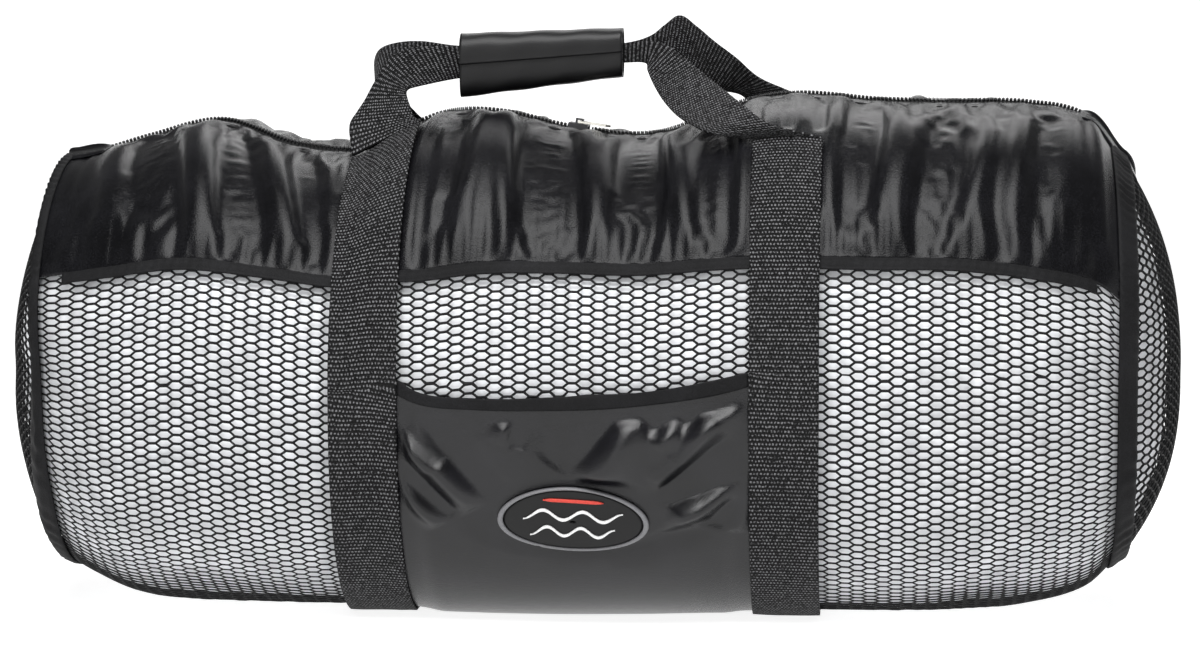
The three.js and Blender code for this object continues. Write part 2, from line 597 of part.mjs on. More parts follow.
const BACK_HANDLE = [
  { outer: [-1.18, 1.1, -0.42], inner: [-0.9, 0.84, -0.34] },
  { outer: [-1.17, 1.2, -0.12], inner: [-1.0, 0.56, -0.06] },
  { outer: [-1.16, 1.08, 0.18], inner: [-1.08, 0.3, 0.12] },
  { outer: [-1.15, 0.84, 0.46], inner: [-1.1, 0.16, 0.24] },
  { outer: [-1.1, 0.5, 0.62], inner: [-1.05, 0.1, 0.34] },
  { outer: [-1.0, 0.26, 0.7], inner: [-0.98, 0.08, 0.38] },
  { outer: [-0.88, 0.14, 0.72], inner: [-0.88, 0.08, 0.34] },
  { outer: [-0.68, 0.1, 0.66], inner: [-0.68, 0.1, 0.28] },
  { outer: [-0.26, 0.1, 0.67], inner: [-0.26, 0.1, 0.34] },
  { outer: [0.16, 0.1, 0.7], inner: [0.16, 0.1, 0.44] },
  { outer: [0.29, 0.12, 0.8], inner: [0.29, 0.12, 0.48] },
  { outer: [0.36, 0.18, 0.94], inner: [0.33, 0.16, 0.52] },
  { outer: [0.43, 0.3, 1.06], inner: [0.39, 0.26, 0.56] },
  { outer: [0.51, 0.48, 0.92], inner: [0.46, 0.44, 0.52] },
  { outer: [0.6, 0.64, 0.72], inner: [0.52, 0.62, 0.36] },
  { outer: [0.71, 0.84, 0.5], inner: [0.6, 0.86, 0.18] },
  { outer: [0.82, 1.1, 0.24], inner: [0.68, 1.1, 0.04] },
  { outer: [0.95, 1.25, 0.08], inner: [0.73, 1.2, 0.0] },
  { outer: [1.08, 1.38, -0.06], inner: [0.79, 1.38, -0.14] },
];
const HANDLE_STEPS = 31;

/** The two edges of a handle's end, at mid thickness, clear of the strap by the webbing's thickness. */
function strapEnd(side, end) {
  const name = `${side < 0 ? 'left' : 'right'}_${end > 0 ? 'front' : 'back'}`;
  const girth = end * (1 + CREST_ROWS[name] / ROWS);
  const girthGap = (end * WEBBING_THICKNESS) / arcPerGirth(0, girth);
  const edge = (x) => {
    const { point, normal } = wall(x, girth - girthGap);
    return point.addScaledVector(normal, STRAP_LIFT + WEBBING_THICKNESS / 2);
  };
  return { outer: edge(side * STRAP_OUTER), inner: edge(side * STRAP_INNER) };
}

/** A webbing ribbon between two edge curves, as thick as the folded width needs. */
function ribbon(rows) {
  const outer = new THREE.CatmullRomCurve3(rows.map((row) => row.outer), false, 'centripetal');
  const inner = new THREE.CatmullRomCurve3(rows.map((row) => row.inner), false, 'centripetal');
  const middleAt = (t) => outer.getPoint(t).add(inner.getPoint(t)).multiplyScalar(0.5);
  const place = (t, share) => {
    const point = outer.getPoint(t).lerp(inner.getPoint(t), share);
    const along = middleAt(Math.min(t + SLIGHT, 1)).sub(middleAt(Math.max(t - SLIGHT, 0)));
    const across = inner.getPoint(t).sub(outer.getPoint(t));
    const normal = along.cross(across).normalize();
    return { point, normal };
  };
  const cells = cellsOf(steps(0, 1, HANDLE_STEPS), [0, 1]);
  return thicken(cells, place, -WEBBING_THICKNESS / 2, WEBBING_THICKNESS / 2);
}

function handlePoint([x, y, z]) {
  return new THREE.Vector3((x * STRAP_SPACING) / 2, y * WEBBING_WIDTH, BODY_HEIGHT + z * HANDLE_RISE);
}

function addHandles() {
  for (const [name, table, end] of [['front_handle', FRONT_HANDLE, 1], ['back_handle', BACK_HANDLE, -1]]) {
    const free = table.map(({ outer, inner }) => ({ outer: handlePoint(outer), inner: handlePoint(inner) }));
    add(name, ribbon([strapEnd(-1, end), ...free, strapEnd(1, end)]), WEBBING);
  }
}

// The wrap's section, from its hidden inner edge down the front, up the back and over to the flap:
// y as a share of half the depth and z as a share of the height
const WRAP_SECTION = [
  { y: -1, z: 0.86 }, { y: -1, z: 0.2 }, { y: -0.6, z: 0.02 }, { y: 0.4, z: 0 }, { y: 0.95, z: 0.15 },
  { y: 1, z: 0.8 }, { y: 0.6, z: 1 }, { y: -0.6, z: 1.02 }, { y: -1.3, z: 0.88 }, { y: -1.34, z: 0.52 },
];
const WRAP_ENDS = { left: { foot: 0.03, head: 0.76 }, right: { foot: 0.3, head: 0.84 } };
const WRAP_MIDDLE = -0.26;

function addWrap() {
  const sectionPoint = (along, row) => {
    const { y, z } = WRAP_SECTION[row];
    const foot = lerp(WRAP_ENDS.left.foot, WRAP_ENDS.right.foot, along);
    const head = lerp(WRAP_ENDS.left.head, WRAP_ENDS.right.head, along);
    const x = (WRAP_MIDDLE * STRAP_SPACING) / 2 + (along - 0.5) * WRAP_LENGTH;
    return new THREE.Vector3(x, (y * WRAP_DEPTH) / 2, BODY_HEIGHT + lerp(foot, head, z) * HANDLE_RISE);
  };
  const last = WRAP_SECTION.length - 1;
  const place = (along, row) => {
    const before = sectionPoint(along, Math.max(row - 1, 0));
    const after = sectionPoint(along, Math.min(row + 1, last));
    const normal = after.sub(before).cross(new THREE.Vector3(1, 0, 0)).normalize();
    return { point: sectionPoint(along, row), normal };
  };
  const cells = cellsOf(steps(0, 1, 4), WRAP_SECTION.map((_, row) => row));
  add('handle_wrap', thicken(cells, place, 0, WRAP_THICKNESS), GRIP);
}

const TAPE_TOP = -NYLON_THICKNESS - 2 * CLEARANCE;
const CHAIN_FOOT = TAPE_TOP + CLEARANCE;
const CHAIN_TOP = CHAIN_FOOT + CHAIN_HEIGHT;

function addZip() {
  const end = HALF_LENGTH - BINDING_WIDTH - CLEARANCE;
  const stations = [-end, ...STATIONS.slice(1, -1), end];
  const half = 1 + (TAPE_WIDTH - ZIP_OPENING) / 2 / arcPerGirth(0, 1 + NEXT_TO_SEAM);
  const tape = cellsOf(stations, [-half, half]);
  add('zip_tape', thicken(tape, facet, TAPE_TOP - TAPE_THICKNESS, TAPE_TOP), ZIP_CLOTH);
  const chain = CHAIN_WIDTH / ZIP_OPENING;
  add('zip_chain', thicken(cellsOf(stations, [-chain, chain]), facet, CHAIN_FOOT, CHAIN_TOP), COIL);
}

/** A closed geometry as a solid that can be cut and joined. */
function toSolid(geometry) {
  const positions = geometry.getAttribute('position');
  const ids = new Map();
  const verts = [];
  const tris = [];
  const count = geometry.index ? geometry.index.count : positions.count;
  for (let k = 0; k < count; k += 1) {
    const at = geometry.index ? geometry.index.getX(k) : k;
    const spot = [positions.getX(at), positions.getY(at), positions.getZ(at)];
    const key = spot.map((value) => value.toFixed(4)).join(' ');
    if (!ids.has(key)) {
      ids.set(key, ids.size);
      verts.push(...spot);
    }
    tris.push(ids.get(key));
  }
  const mesh = new wasm.Mesh({
    numProp: 3, vertProperties: new Float32Array(verts), triVerts: new Uint32Array(tris),
  });
  return new wasm.Manifold(mesh);
}

function fromSolid(body) {
  const mesh = body.getMesh();
  const geometry = new THREE.BufferGeometry();
  geometry.setAttribute('position', new THREE.BufferAttribute(mesh.vertProperties, 3));
  geometry.setIndex(new THREE.BufferAttribute(mesh.triVerts, 1));
  geometry.computeVertexNormals();
  return geometry;
}

/** A box from its low corner to its high corner. */
function boxBetween(low, high) {
  const size = high.map((value, k) => value - low[k]);
  const box = new THREE.BoxGeometry(...size);
  box.translate(...high.map((value, k) => (value + low[k]) / 2));
  return toSolid(box);
}

// Slider: a channel over the chain with a bridge on top; the pull's bar lies under the bridge
const SLIDER_WALL = 1.4;
const BRIDGE_WIDTH = 3.6;
const BRIDGE_WALL = 1.3;
const BAR_GAP = 0.5;
const SLIDER_COLUMN = 5;

function addSlider() {
  const [left, right] = MIDDLE_STATIONS.slice(SLIDER_COLUMN, SLIDER_COLUMN + 2);
  const { point, normal } = facet((left + right) / 2, 0);
  const along = facet(right, 0).point.sub(facet(left, 0).point).normalize();
  const across = normal.clone().cross(along).normalize();
  const turn = new THREE.Matrix4().makeBasis(along, across, along.clone().cross(across));
  const seat = new THREE.Group();
  seat.position.copy(point);
  seat.quaternion.setFromRotationMatrix(turn);
  bag.add(seat);

  const roofFoot = CHAIN_TOP + 2 * CLEARANCE;
  const roofTop = roofFoot + SLIDER_WALL;
  const innerHalf = CHAIN_WIDTH / 2 + 2 * CLEARANCE;
  const outerHalf = innerHalf + SLIDER_WALL;
  const half = SLIDER_LENGTH / 2;
  const tunnel = PULL_THICKNESS + 2 * BAR_GAP;
  const bridgeHalf = tunnel / 2 + BRIDGE_WALL + BAR_GAP;
  const bridgeTop = roofTop + tunnel + BRIDGE_WALL;
  const eyeHalf = tunnel / 2 + BAR_GAP;
  const past = SLIDER_WALL;
  const shell = boxBetween([-half, -outerHalf, TAPE_TOP + CLEARANCE], [half, outerHalf, roofTop]);
  const lowChannel = [-half - past, -innerHalf, TAPE_TOP - past];
  const channel = boxBetween(lowChannel, [half + past, innerHalf, roofFoot]);
  const lowBridge = [-bridgeHalf, -BRIDGE_WIDTH / 2, roofFoot];
  const bridge = boxBetween(lowBridge, [bridgeHalf, BRIDGE_WIDTH / 2, bridgeTop]);
  const eye = boxBetween([-eyeHalf, -BRIDGE_WIDTH, roofTop], [eyeHalf, BRIDGE_WIDTH, roofTop + tunnel]);
  add('zip_slider', fromSolid(shell.add(bridge).subtract(channel).subtract(eye)), SLIDER_METAL, seat);

  const pull = new THREE.Shape();
  const bar = PULL_THICKNESS / 2;
  const nose = PULL_WIDTH / 3;
  pull.moveTo(-bar, -PULL_WIDTH / 2);
  pull.lineTo(PULL_LENGTH - nose, -PULL_WIDTH / 2);
  pull.lineTo(PULL_LENGTH, -PULL_WIDTH / 2 + nose);
  pull.lineTo(PULL_LENGTH, PULL_WIDTH / 2 - nose);
  pull.lineTo(PULL_LENGTH - nose, PULL_WIDTH / 2);
  pull.lineTo(-bar, PULL_WIDTH / 2);
  pull.closePath();
  const slot = new THREE.Path();
  const slotHalf = BRIDGE_WIDTH / 2 + BAR_GAP;
  const slotEnd = bridgeHalf + tunnel + BAR_GAP;
  slot.moveTo(bar, -slotHalf);
  slot.lineTo(slotEnd, -slotHalf);
  slot.lineTo(slotEnd, slotHalf);
  slot.lineTo(bar, slotHalf);
  slot.closePath();
  pull.holes.push(slot);
  const plate = new THREE.ExtrudeGeometry(pull, { depth: PULL_THICKNESS, bevelEnabled: false });
  plate.translate(0, 0, -PULL_THICKNESS / 2);
  const hinge = new THREE.Group();
  hinge.position.set(0, 0, roofTop + tunnel / 2);
  seat.add(hinge);
  add('zip_pull', plate, PULL_METAL, hinge);
}

// Badge: an oval on the pocket, laid out in millimetres from its middle
const BADGE_GIRTH = 2.455;
const BADGE_STEPS = 24;
const BADGE_SEAT = 0.2;
const WAVES = [
  { name: 'badge_wave_upper', at: 0.1, length: 0.66, swing: 0.07, turns: 2.5 },
  { name: 'badge_wave_lower', at: -0.16, length: 0.56, swing: 0.07, turns: 2.5 },
];
const WAVE_STEPS = 14;
const STRIPE = { at: 0.32, length: 0.4 };

function addBadge() {
  const grip = arcPerGirth(0, BADGE_GIRTH);
  const tilt = degToRad(BADGE_TILT);
  const place = (across, up) => {
    const x = across * Math.cos(tilt) + up * Math.sin(tilt);
    const rise = up * Math.cos(tilt) - across * Math.sin(tilt);
    return wall(x, BADGE_GIRTH - rise / grip);
  };
  const oval = (ring, turn) =>
    place(((ring * BADGE_LENGTH) / 2) * Math.cos(turn), ((ring * BADGE_WIDTH) / 2) * Math.sin(turn));
  const turns = steps(0, 2 * Math.PI, BADGE_STEPS);
  const foot = PATCH_TOP + CLEARANCE + BADGE_SEAT;
  const top = foot + BADGE_THICKNESS;
  const rimRing = 1 - (2 * BADGE_RIM) / BADGE_WIDTH;
  const fieldRing = rimRing - (2 * CLEARANCE) / BADGE_WIDTH;
  add('badge', thicken(cellsOf([0, fieldRing / 2, fieldRing], turns), oval, foot, top), BADGE_RUBBER);
  add('badge_rim', thicken(cellsOf([rimRing, 1], turns), oval, foot, top + MOTIF_HEIGHT), RIM_RUBBER);
  const motifFoot = top + CLEARANCE;
  const motifTop = motifFoot + MOTIF_HEIGHT;
  for (const { name, at, length, swing, turns: waves } of WAVES) {
    const line = (along, share) => {
      const across = (along * length * BADGE_LENGTH) / 2;
      const rise = at + swing * Math.sin(along * waves * Math.PI);
      return place(across, rise * BADGE_WIDTH + share * MOTIF_STROKE);
    };
    const wave = cellsOf(steps(-1, 1, WAVE_STEPS), [-0.5, 0.5]);
    add(name, thicken(wave, line, motifFoot, motifTop), WHITE_RUBBER);
  }
  const half = (STRIPE.length * BADGE_LENGTH) / 2;
  const level = STRIPE.at * BADGE_WIDTH;
  const bar = cellsOf(steps(-half, half, 4), [level - MOTIF_STROKE / 2, level + MOTIF_STROKE / 2]);
  add('badge_stripe', thicken(bar, place, motifFoot, motifTop), RED_RUBBER);
}

// Packing: a liner inside the wall, open along the top under the zip, with rounded ends.
// Its rows are the body's, and along it -1 and 1 are the rims, -2 and 2 the middles of the ends.
const PACKING_MOUTH = 1.45;
const PACKING_COLUMNS = 12;
const PACKING_ROWS = 8;
const PACKING_RINGS = [1.34, 1.67, 2];

function addPacking() {
  const inner = HALF_LENGTH - PACKING_GAP;
  const surface = (u, girth) => {
    const side = Math.sign(u) || 1;
    const onBody = wallPoint(clamp(u, -1, 1) * inner, girth, 0);
    const middle = new THREE.Vector3(onBody.x, 0, BODY_HEIGHT * END_MIDDLE);
    const radius = onBody.distanceTo(middle);
    const underYoke = clamp((HEM - Math.abs(wrap(girth))) / (HEM - PACKING_MOUTH), 0, 1);
    onBody.lerp(middle, (NET_THICKNESS + PACKING_GAP + underYoke * FOLD_HEIGHT) / radius);
    const ring = 2 - Math.max(Math.abs(u), 1);
    const point = middle.lerp(onBody, ring);
    point.x += side * END_BULGE * (1 - ring ** 2);
    return point;
  };
  const place = (u, girth) => {
    const point = surface(u, girth);
    if (Math.abs(u) === 2) return { point, normal: new THREE.Vector3(Math.sign(u), 0, 0) };
    return frameOf(surface, u, girth, SLIGHT, SLIGHT, BODY_MIDDLE);
  };
  const girths = [PACKING_MOUTH, ...steps(HEM, BACK_HEM, PACKING_ROWS), ALL_ROUND - PACKING_MOUTH];
  const mouth = [-PACKING_MOUTH, 0, PACKING_MOUTH];
  const body = steps(-1, 1, PACKING_COLUMNS);
  const leftEnd = PACKING_RINGS.map((u) => -u).reverse();
  const cells = cellsOf([...leftEnd, ...body, ...PACKING_RINGS], girths);
  cells.push(...cellsOf([...leftEnd, ...body.slice(0, 2)], mouth));
  cells.push(...cellsOf([...body.slice(-2), ...PACKING_RINGS], mouth));
  add('packing_filler', thicken(cells, place, -PACKING_THICKNESS, 0), PACKING);
}

addYokes();
addBodyNet();
addEnd('left', -1);
addEnd('right', 1);
addHems();
addPocket();
addStraps();
addHandles();
addWrap();
addZip();
addSlider();
addBadge();
addPacking();

export default bag;
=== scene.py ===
"""A horizontal barrel bag of black nylon and open net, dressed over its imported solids.

Metres, +X to the bag's right, -Y to its front, +Z up. Lengths in the tables and in the
surface functions are millimetres, and points become metres when a mesh is made.
"""
import math

import bpy
import numpy as np
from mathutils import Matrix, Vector


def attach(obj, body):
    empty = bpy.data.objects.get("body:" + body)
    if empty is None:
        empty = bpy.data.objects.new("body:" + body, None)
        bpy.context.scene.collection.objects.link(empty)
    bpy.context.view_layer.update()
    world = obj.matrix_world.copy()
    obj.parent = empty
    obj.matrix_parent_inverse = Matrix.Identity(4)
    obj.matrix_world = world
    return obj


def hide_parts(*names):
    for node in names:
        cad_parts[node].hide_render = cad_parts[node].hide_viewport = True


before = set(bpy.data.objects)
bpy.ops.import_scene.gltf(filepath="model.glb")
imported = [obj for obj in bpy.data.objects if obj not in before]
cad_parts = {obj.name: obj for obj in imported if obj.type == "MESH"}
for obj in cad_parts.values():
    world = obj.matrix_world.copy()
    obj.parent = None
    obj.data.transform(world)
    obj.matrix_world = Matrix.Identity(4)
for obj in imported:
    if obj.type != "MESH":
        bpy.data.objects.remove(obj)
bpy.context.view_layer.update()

# Sizes shared with the solids
BODY_LENGTH = 795
BODY_HEIGHT = 384
BODY_DEPTH = 388
END_BULGE = 45
END_MIDDLE = 0.46
DENT_DEPTH = 16
WEBBING_WIDTH = 50
STRAP_SPACING = 302
STRAP_PINCH = 4
HANDLE_RISE = 58
ZIP_OPENING = 15
HALF_LENGTH = BODY_LENGTH / 2
HALF_DEPTH = BODY_DEPTH / 2
STRAP_INNER = (STRAP_SPACING - WEBBING_WIDTH) / 2
STRAP_OUTER = (STRAP_SPACING + WEBBING_WIDTH) / 2
STRAP_TOP = 4.6
LOWER_ROUNDNESS = 0.78
FLOOR_REACH = 1 / 6
FLOOR_SINK = 0.026
# The left end's upper shoulder, which leans out over the end
SHOULDER_ANGLE = math.radians(48)
SHOULDER_REACH = 9
# Where each strap begins at the front, 1, and at the back, -1, in sixths of the way from zip to hem
CRESTS = {("left", 1): 1, ("right", 1): 3, ("left", -1): 2, ("right", -1): 2}
END_MIDDLE_HEIGHT = BODY_HEIGHT * END_MIDDLE
DOME_POWERS = {-1: 2.0, 1: 2.5}
END_LIFT = 2.1

# Sections along the bag: at is a share of the half length, crown and keel of the height and depth of
# the half depth; drift and hem are the angles of zip and hem round the section
SECTIONS = {
    "at": [-1.0, -0.95, -0.86, -0.72, -0.566, -0.43, -0.363, -0.276, -0.17, -0.036, 0.128, 0.302,
           0.398, 0.543, 0.687, 0.83, 0.94, 1.0],
    "crown": [0.879, 0.888, 0.919, 0.952, 0.917, 0.912, 0.946, 0.974, 0.969, 0.939, 0.93, 1.0, 1.016,
           0.998, 0.995, 0.99, 0.962, 0.885],
    "keel": [0.09, 0.061, 0.023, 0.002, 0.003, 0.004, 0.004, 0, 0, 0, 0, 0.002, 0, 0, 0, 0.022,
           0.056, 0.115],
    "depth": [0.76, 0.83, 0.92, 0.97, 1, 1, 0.995, 1, 1, 1, 1, 1, 1, 1, 0.99, 0.95, 0.86, 0.78],
    "drift": [0, 0, 0, 2, 10, 9, 4, 0, 0, 2, 3, 0, 0, 4, 6, 3, 0, 0],
    "hem": [63, 62, 61.5, 61.5, 60, 61.5, 63.5, 65.5, 63.5, 60.5, 60, 64.5, 65.5, 64.5, 64.5, 67,
           69.5, 71.5],
}
# Dents of the whole wall, as shares; girth counts round it: 0 zip, 2 hem, 3 keel, below 0 behind
DENTS = {
    "at": [-1.0, 1.0, -1.0, 1.0, -0.7, 0.72],
    "girth": [2.23, 2.2, -2.25, -2.3, 2.75, 2.78],
    "length": [0.1, 0.09, 0.1, 0.1, 0.12, 0.1],
    "reach": [0.13, 0.16, 0.14, 0.14, 0.1, 0.1],
    "depth": [0.9, 0.7, 0.7, 0.8, 0.25, 0.25],
}

# Steps for slopes of the wall, in millimetres along the bag and in girths
STEP_X = 0.5
STEP_GIRTH = 0.004


def spline(name, at):
    """The smooth value of a column of the sections at places along the bag."""
    xs = np.array(SECTIONS["at"])
    ys = np.array(SECTIONS[name], float)
    last = len(xs) - 1
    before = np.maximum(np.arange(last + 1) - 1, 0)
    after = np.minimum(np.arange(last + 1) + 1, last)
    slopes = (ys[after] - ys[before]) / (xs[after] - xs[before])
    at = np.clip(at, xs[0], xs[-1])
    low = np.clip(np.searchsorted(xs, at, side="right") - 1, 0, last - 1)
    span = xs[low + 1] - xs[low]
    t = (at - xs[low]) / span
    rise = ys[low + 1] - ys[low]
    return (ys[low] + rise * t * t * (3 - 2 * t) + slopes[low] * span * t * (1 - t) ** 2
            + slopes[low + 1] * span * t * t * (t - 1))


def smooth(value, low, high):
    """0 below low, 1 above high, and an even rise between."""
    t = np.clip((value - low) / (high - low), 0, 1)
    return t * t * (3 - 2 * t)


def section_angle(at, girth):
    """The angle round the section at a girth: 0 at the crown, positive to the front."""
    side = np.where(girth < 0, -1.0, 1.0)
    reach = np.abs(girth)
    drift = np.radians(spline("drift", at))
    edge = ZIP_OPENING / 2 / (HALF_DEPTH * spline("depth", at))
    hem = np.radians(spline("hem", at))
    start = edge + side * drift
    middle = start + (hem - start) * (reach - 1)
    lower = hem + (math.pi - hem) * (reach - 2)
    return np.where(reach <= 1, drift + girth * edge, side * np.where(reach <= 2, middle, lower))


def dent_depth(x, girth):
    """How far the pinched seams and soft dents draw the wall in."""
    depth = np.zeros(np.broadcast(x, girth).shape)
    for at, around, length, reach, deep in zip(*DENTS.values()):
        along = (x / HALF_LENGTH - at) / length
        depth += deep * DENT_DEPTH * np.exp(-(along ** 2) - ((girth - around) / reach) ** 2)
    off_strap = (np.abs(x) - STRAP_SPACING / 2) / WEBBING_WIDTH
    off_floor = smooth(3 - np.abs(girth), FLOOR_REACH, 3 * FLOOR_REACH)
    return depth + STRAP_PINCH * np.exp(-(off_strap ** 2)) * off_floor


def wall_point(x, place):
    """Points of the wall's outer face."""
    x, place = np.broadcast_arrays(np.asarray(x, float), np.asarray(place, float))
    girth = np.where(place > 3, place - 6, place)
    at = x / HALF_LENGTH
    crown = spline("crown", at) * BODY_HEIGHT
    keel = STRAP_TOP + (spline("keel", at) - FLOOR_SINK) * BODY_HEIGHT
    angle = section_angle(at, girth)
    power = np.where(np.cos(angle) > 0, 1.0, LOWER_ROUNDNESS)
    dent = dent_depth(x, girth)
    half_depth = spline("depth", at) * HALF_DEPTH - dent
    half_height = (crown - keel) / 2 - dent
    sine = np.sign(np.sin(angle)) * np.abs(np.sin(angle)) ** power
    cosine = np.sign(np.cos(angle)) * np.abs(np.cos(angle)) ** power
    z = (crown + keel) / 2 + half_height * cosine
    near_shoulder = smooth(np.cos(np.abs(angle) - SHOULDER_ANGLE), 0.2, 0.9)
    shoulder = SHOULDER_REACH * smooth(-at, 0.84, 1.0) * near_shoulder
    return np.stack([x - shoulder, -half_depth * sine, np.maximum(z, STRAP_TOP)], -1)


def unit(vectors):
    length = np.linalg.norm(vectors, axis=-1, keepdims=True)
    return vectors / np.maximum(length, 1e-9)


def framed(surface, x, girth):
    """Points and outward normals of a surface given as a function of x and a girth or share."""
    x = np.asarray(x, float)
    girth = np.asarray(girth, float)
    point = surface(x, girth)
    along_x = surface(x + STEP_X, girth) - surface(x - STEP_X, girth)
    along_girth = surface(x, girth + STEP_GIRTH) - surface(x, girth - STEP_GIRTH)
    normal = unit(np.cross(along_x, along_girth))
    away = point - [0, 0, BODY_HEIGHT / 2]
    away[..., 0] = 0
    flip = np.sign(np.sum(normal * away, -1, keepdims=True))
    return point, normal * np.where(flip == 0, 1, flip)


def wall(x, girth):
    return framed(wall_point, x, girth)


def arc_per_girth(girth):
    """Millimetres of arc for one step of girth near a place in the bag's middle."""
    gap = wall_point(0.0, girth + STEP_GIRTH) - wall_point(0.0, girth - STEP_GIRTH)
    return np.linalg.norm(gap, axis=-1) / (2 * STEP_GIRTH)


def arc_along(line):
    """How far along a line of points each point lies."""
    return np.concatenate([[0], np.cumsum(np.linalg.norm(np.diff(line, axis=0), axis=1))])


# Meshes

def mesh_object(name, points, faces, uvs=None, shade_smooth=True):
    """A mesh object from points in millimetres, faces and flat places."""
    mesh = bpy.data.meshes.new(name)
    mesh.from_pydata((np.asarray(points) / 1000).tolist(), [], [list(map(int, f)) for f in faces])
    if uvs is not None:
        layer = mesh.uv_layers.new(name="flat")
        corners = np.zeros(len(mesh.loops), np.int64)
        mesh.loops.foreach_get("vertex_index", corners)
        layer.data.foreach_set("uv", np.asarray(uvs, np.float32)[corners].ravel())
    mesh.polygons.foreach_set("use_smooth", np.full(len(mesh.polygons), shade_smooth))
    mesh.update()
    made = bpy.data.objects.new(name, mesh)
    bpy.context.scene.collection.objects.link(made)
    return made


def sheet_mesh(us, vs, place, inner, outer, closed=False):
    """Points, faces and flat places of a thick sheet over a grid. place gives points and normals."""
    grid_u, grid_v = np.meshgrid(us, vs, indexing="ij")
    point, normal = place(grid_u, grid_v)
    rows, columns = grid_u.shape
    count = rows * columns
    top = point + normal * np.broadcast_to(np.asarray(outer, float), grid_u.shape)[..., None]
    low = point + normal * np.broadcast_to(np.asarray(inner, float), grid_u.shape)[..., None]
    points = np.concatenate([top.reshape(-1, 3), low.reshape(-1, 3)])
    ids = np.arange(count).reshape(rows, columns)
    if closed:
        ids = np.concatenate([ids, ids[:, :1]], axis=1)
    quads = np.stack([ids[:-1, :-1], ids[1:, :-1], ids[1:, 1:], ids[:-1, 1:]], -1).reshape(-1, 4)
    edges = [(ids[0, 1:], ids[0, :-1]), (ids[-1, :-1], ids[-1, 1:])]
    if not closed:
        edges += [(ids[:-1, 0], ids[1:, 0]), (ids[1:, -1], ids[:-1, -1])]
    sides = [np.stack([a + count, b + count, b, a], -1) for a, b in edges]
    faces = np.concatenate([quads, quads[:, ::-1] + count] + sides)
    flat = np.stack([grid_u.ravel(), grid_v.ravel()], -1)
    return points, outward(points, faces), np.concatenate([flat, flat])


def outward(points, faces):
    """The faces, turned round if they point inwards."""
    corners = points[faces[:, :3]]
    volume = np.sum(corners[:, 0] * np.cross(corners[:, 1], corners[:, 2]))
    if faces.shape[1] == 4:
        corners = points[faces[:, [0, 2, 3]]]
        volume += np.sum(corners[:, 0] * np.cross(corners[:, 1], corners[:, 2]))
    return faces if volume > 0 else faces[:, ::-1]


def piece(name, parts, material, node):
    """A piece of the bag's body from points, faces and flat places, in place of a solid's node."""
    made = mesh_object(name, *parts)
    made.data.materials.append(material)
    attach(made, "bag")
    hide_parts(node)
    return made


# Materials

class Shader:
    """A material's nodes, wired in a few words."""

    def __init__(self, name, **values):
        self.material = bpy.data.materials.new(name)
        self.material.use_nodes = True
        self.nodes = self.material.node_tree.nodes
        self.links = self.material.node_tree.links
        self.surface = self.nodes["Principled BSDF"]
        for key, value in values.items():
            self.surface.inputs[key.replace("_", " ")].default_value = value

    def node(self, kind, **inputs):
        made = self.nodes.new(kind)
        for key, value in inputs.items():
            self.feed(made.inputs[key.replace("_", " ")], value)
        return made

    def feed(self, socket, value):
        if hasattr(value, "links"):
            self.links.new(value, socket)
        else:
            socket.default_value = value

    def math(self, operation, *values):
        made = self.nodes.new("ShaderNodeMath")
        made.operation = operation
        for socket, value in zip(made.inputs, values):
            self.feed(socket, value)
        return made.outputs[0]

    def flat(self):
        """The flat places along and across a sheet."""
        mapped = self.nodes.new("ShaderNodeUVMap")
        mapped.uv_map = "flat"
        split = self.node("ShaderNodeSeparateXYZ", Vector=mapped.outputs[0])
        return split.outputs[0], split.outputs[1]

    def noise(self, scale, detail=2.0, roughness=0.5):
        place = self.nodes.new("ShaderNodeTexCoord").outputs["Object"]
        values = {"Vector": place, "Scale": scale, "Detail": detail, "Roughness": roughness}
        return self.node("ShaderNodeTexNoise", **values).outputs["Fac"]

    def ramp(self, value, *stops):
        made = self.node("ShaderNodeValToRGB", Fac=value)
        ramp = made.color_ramp
        while len(ramp.elements) < len(stops):
            ramp.elements.new(0.5)
        for element, (at, colour) in zip(ramp.elements, stops):
            element.position = at
            element.color = (*colour, 1)
        return made.outputs[0]

    def bump(self, height, distance, strength):
        return self.node("ShaderNodeBump", Height=height, Strength=strength, Distance=distance).outputs[0]

    def set(self, **values):
        for key, value in values.items():
            self.feed(self.surface.inputs[key.replace("_", " ")], value)
        return self.material


def woven(shader, across_pitch, along_pitch):
    """Rows and dashes of a plain weave, each 0 to 1, from the flat places across and along."""
    across, along = shader.flat()
    row = shader.math("DIVIDE", along, along_pitch)
    odd = shader.math("MULTIPLY", shader.math("FLOOR", row), 0.5)
    turn = shader.math("ADD", shader.math("DIVIDE", across, across_pitch), odd)
    row_wave = shader.math("ABSOLUTE", shader.math("SINE", shader.math("MULTIPLY", row, math.pi)))
    dash_wave = shader.math("ABSOLUTE", shader.math("SINE", shader.math("MULTIPLY", turn, math.pi)))
    return row_wave, dash_wave


def webbing_material(name, base, light):
    shader = Shader(name, Roughness=0.7, IOR=1.25)
    row, dash = woven(shader, 2.5, 3.1)
    height = shader.math("MULTIPLY", row, shader.math("ADD", shader.math("MULTIPLY", dash, 0.6), 0.4))
    # Painted glints: the weave's raised dashes, thinned by noise, get a grey base colour that stands in for
    # highlights on the black yarn
    painted_glint = shader.math("MULTIPLY", height, shader.noise(700, 1))
    colour = shader.ramp(painted_glint, (0.3, base), (0.52, light))
    return shader.set(Base_Color=colour, Normal=shader.bump(height, 0.0011, 0.9))


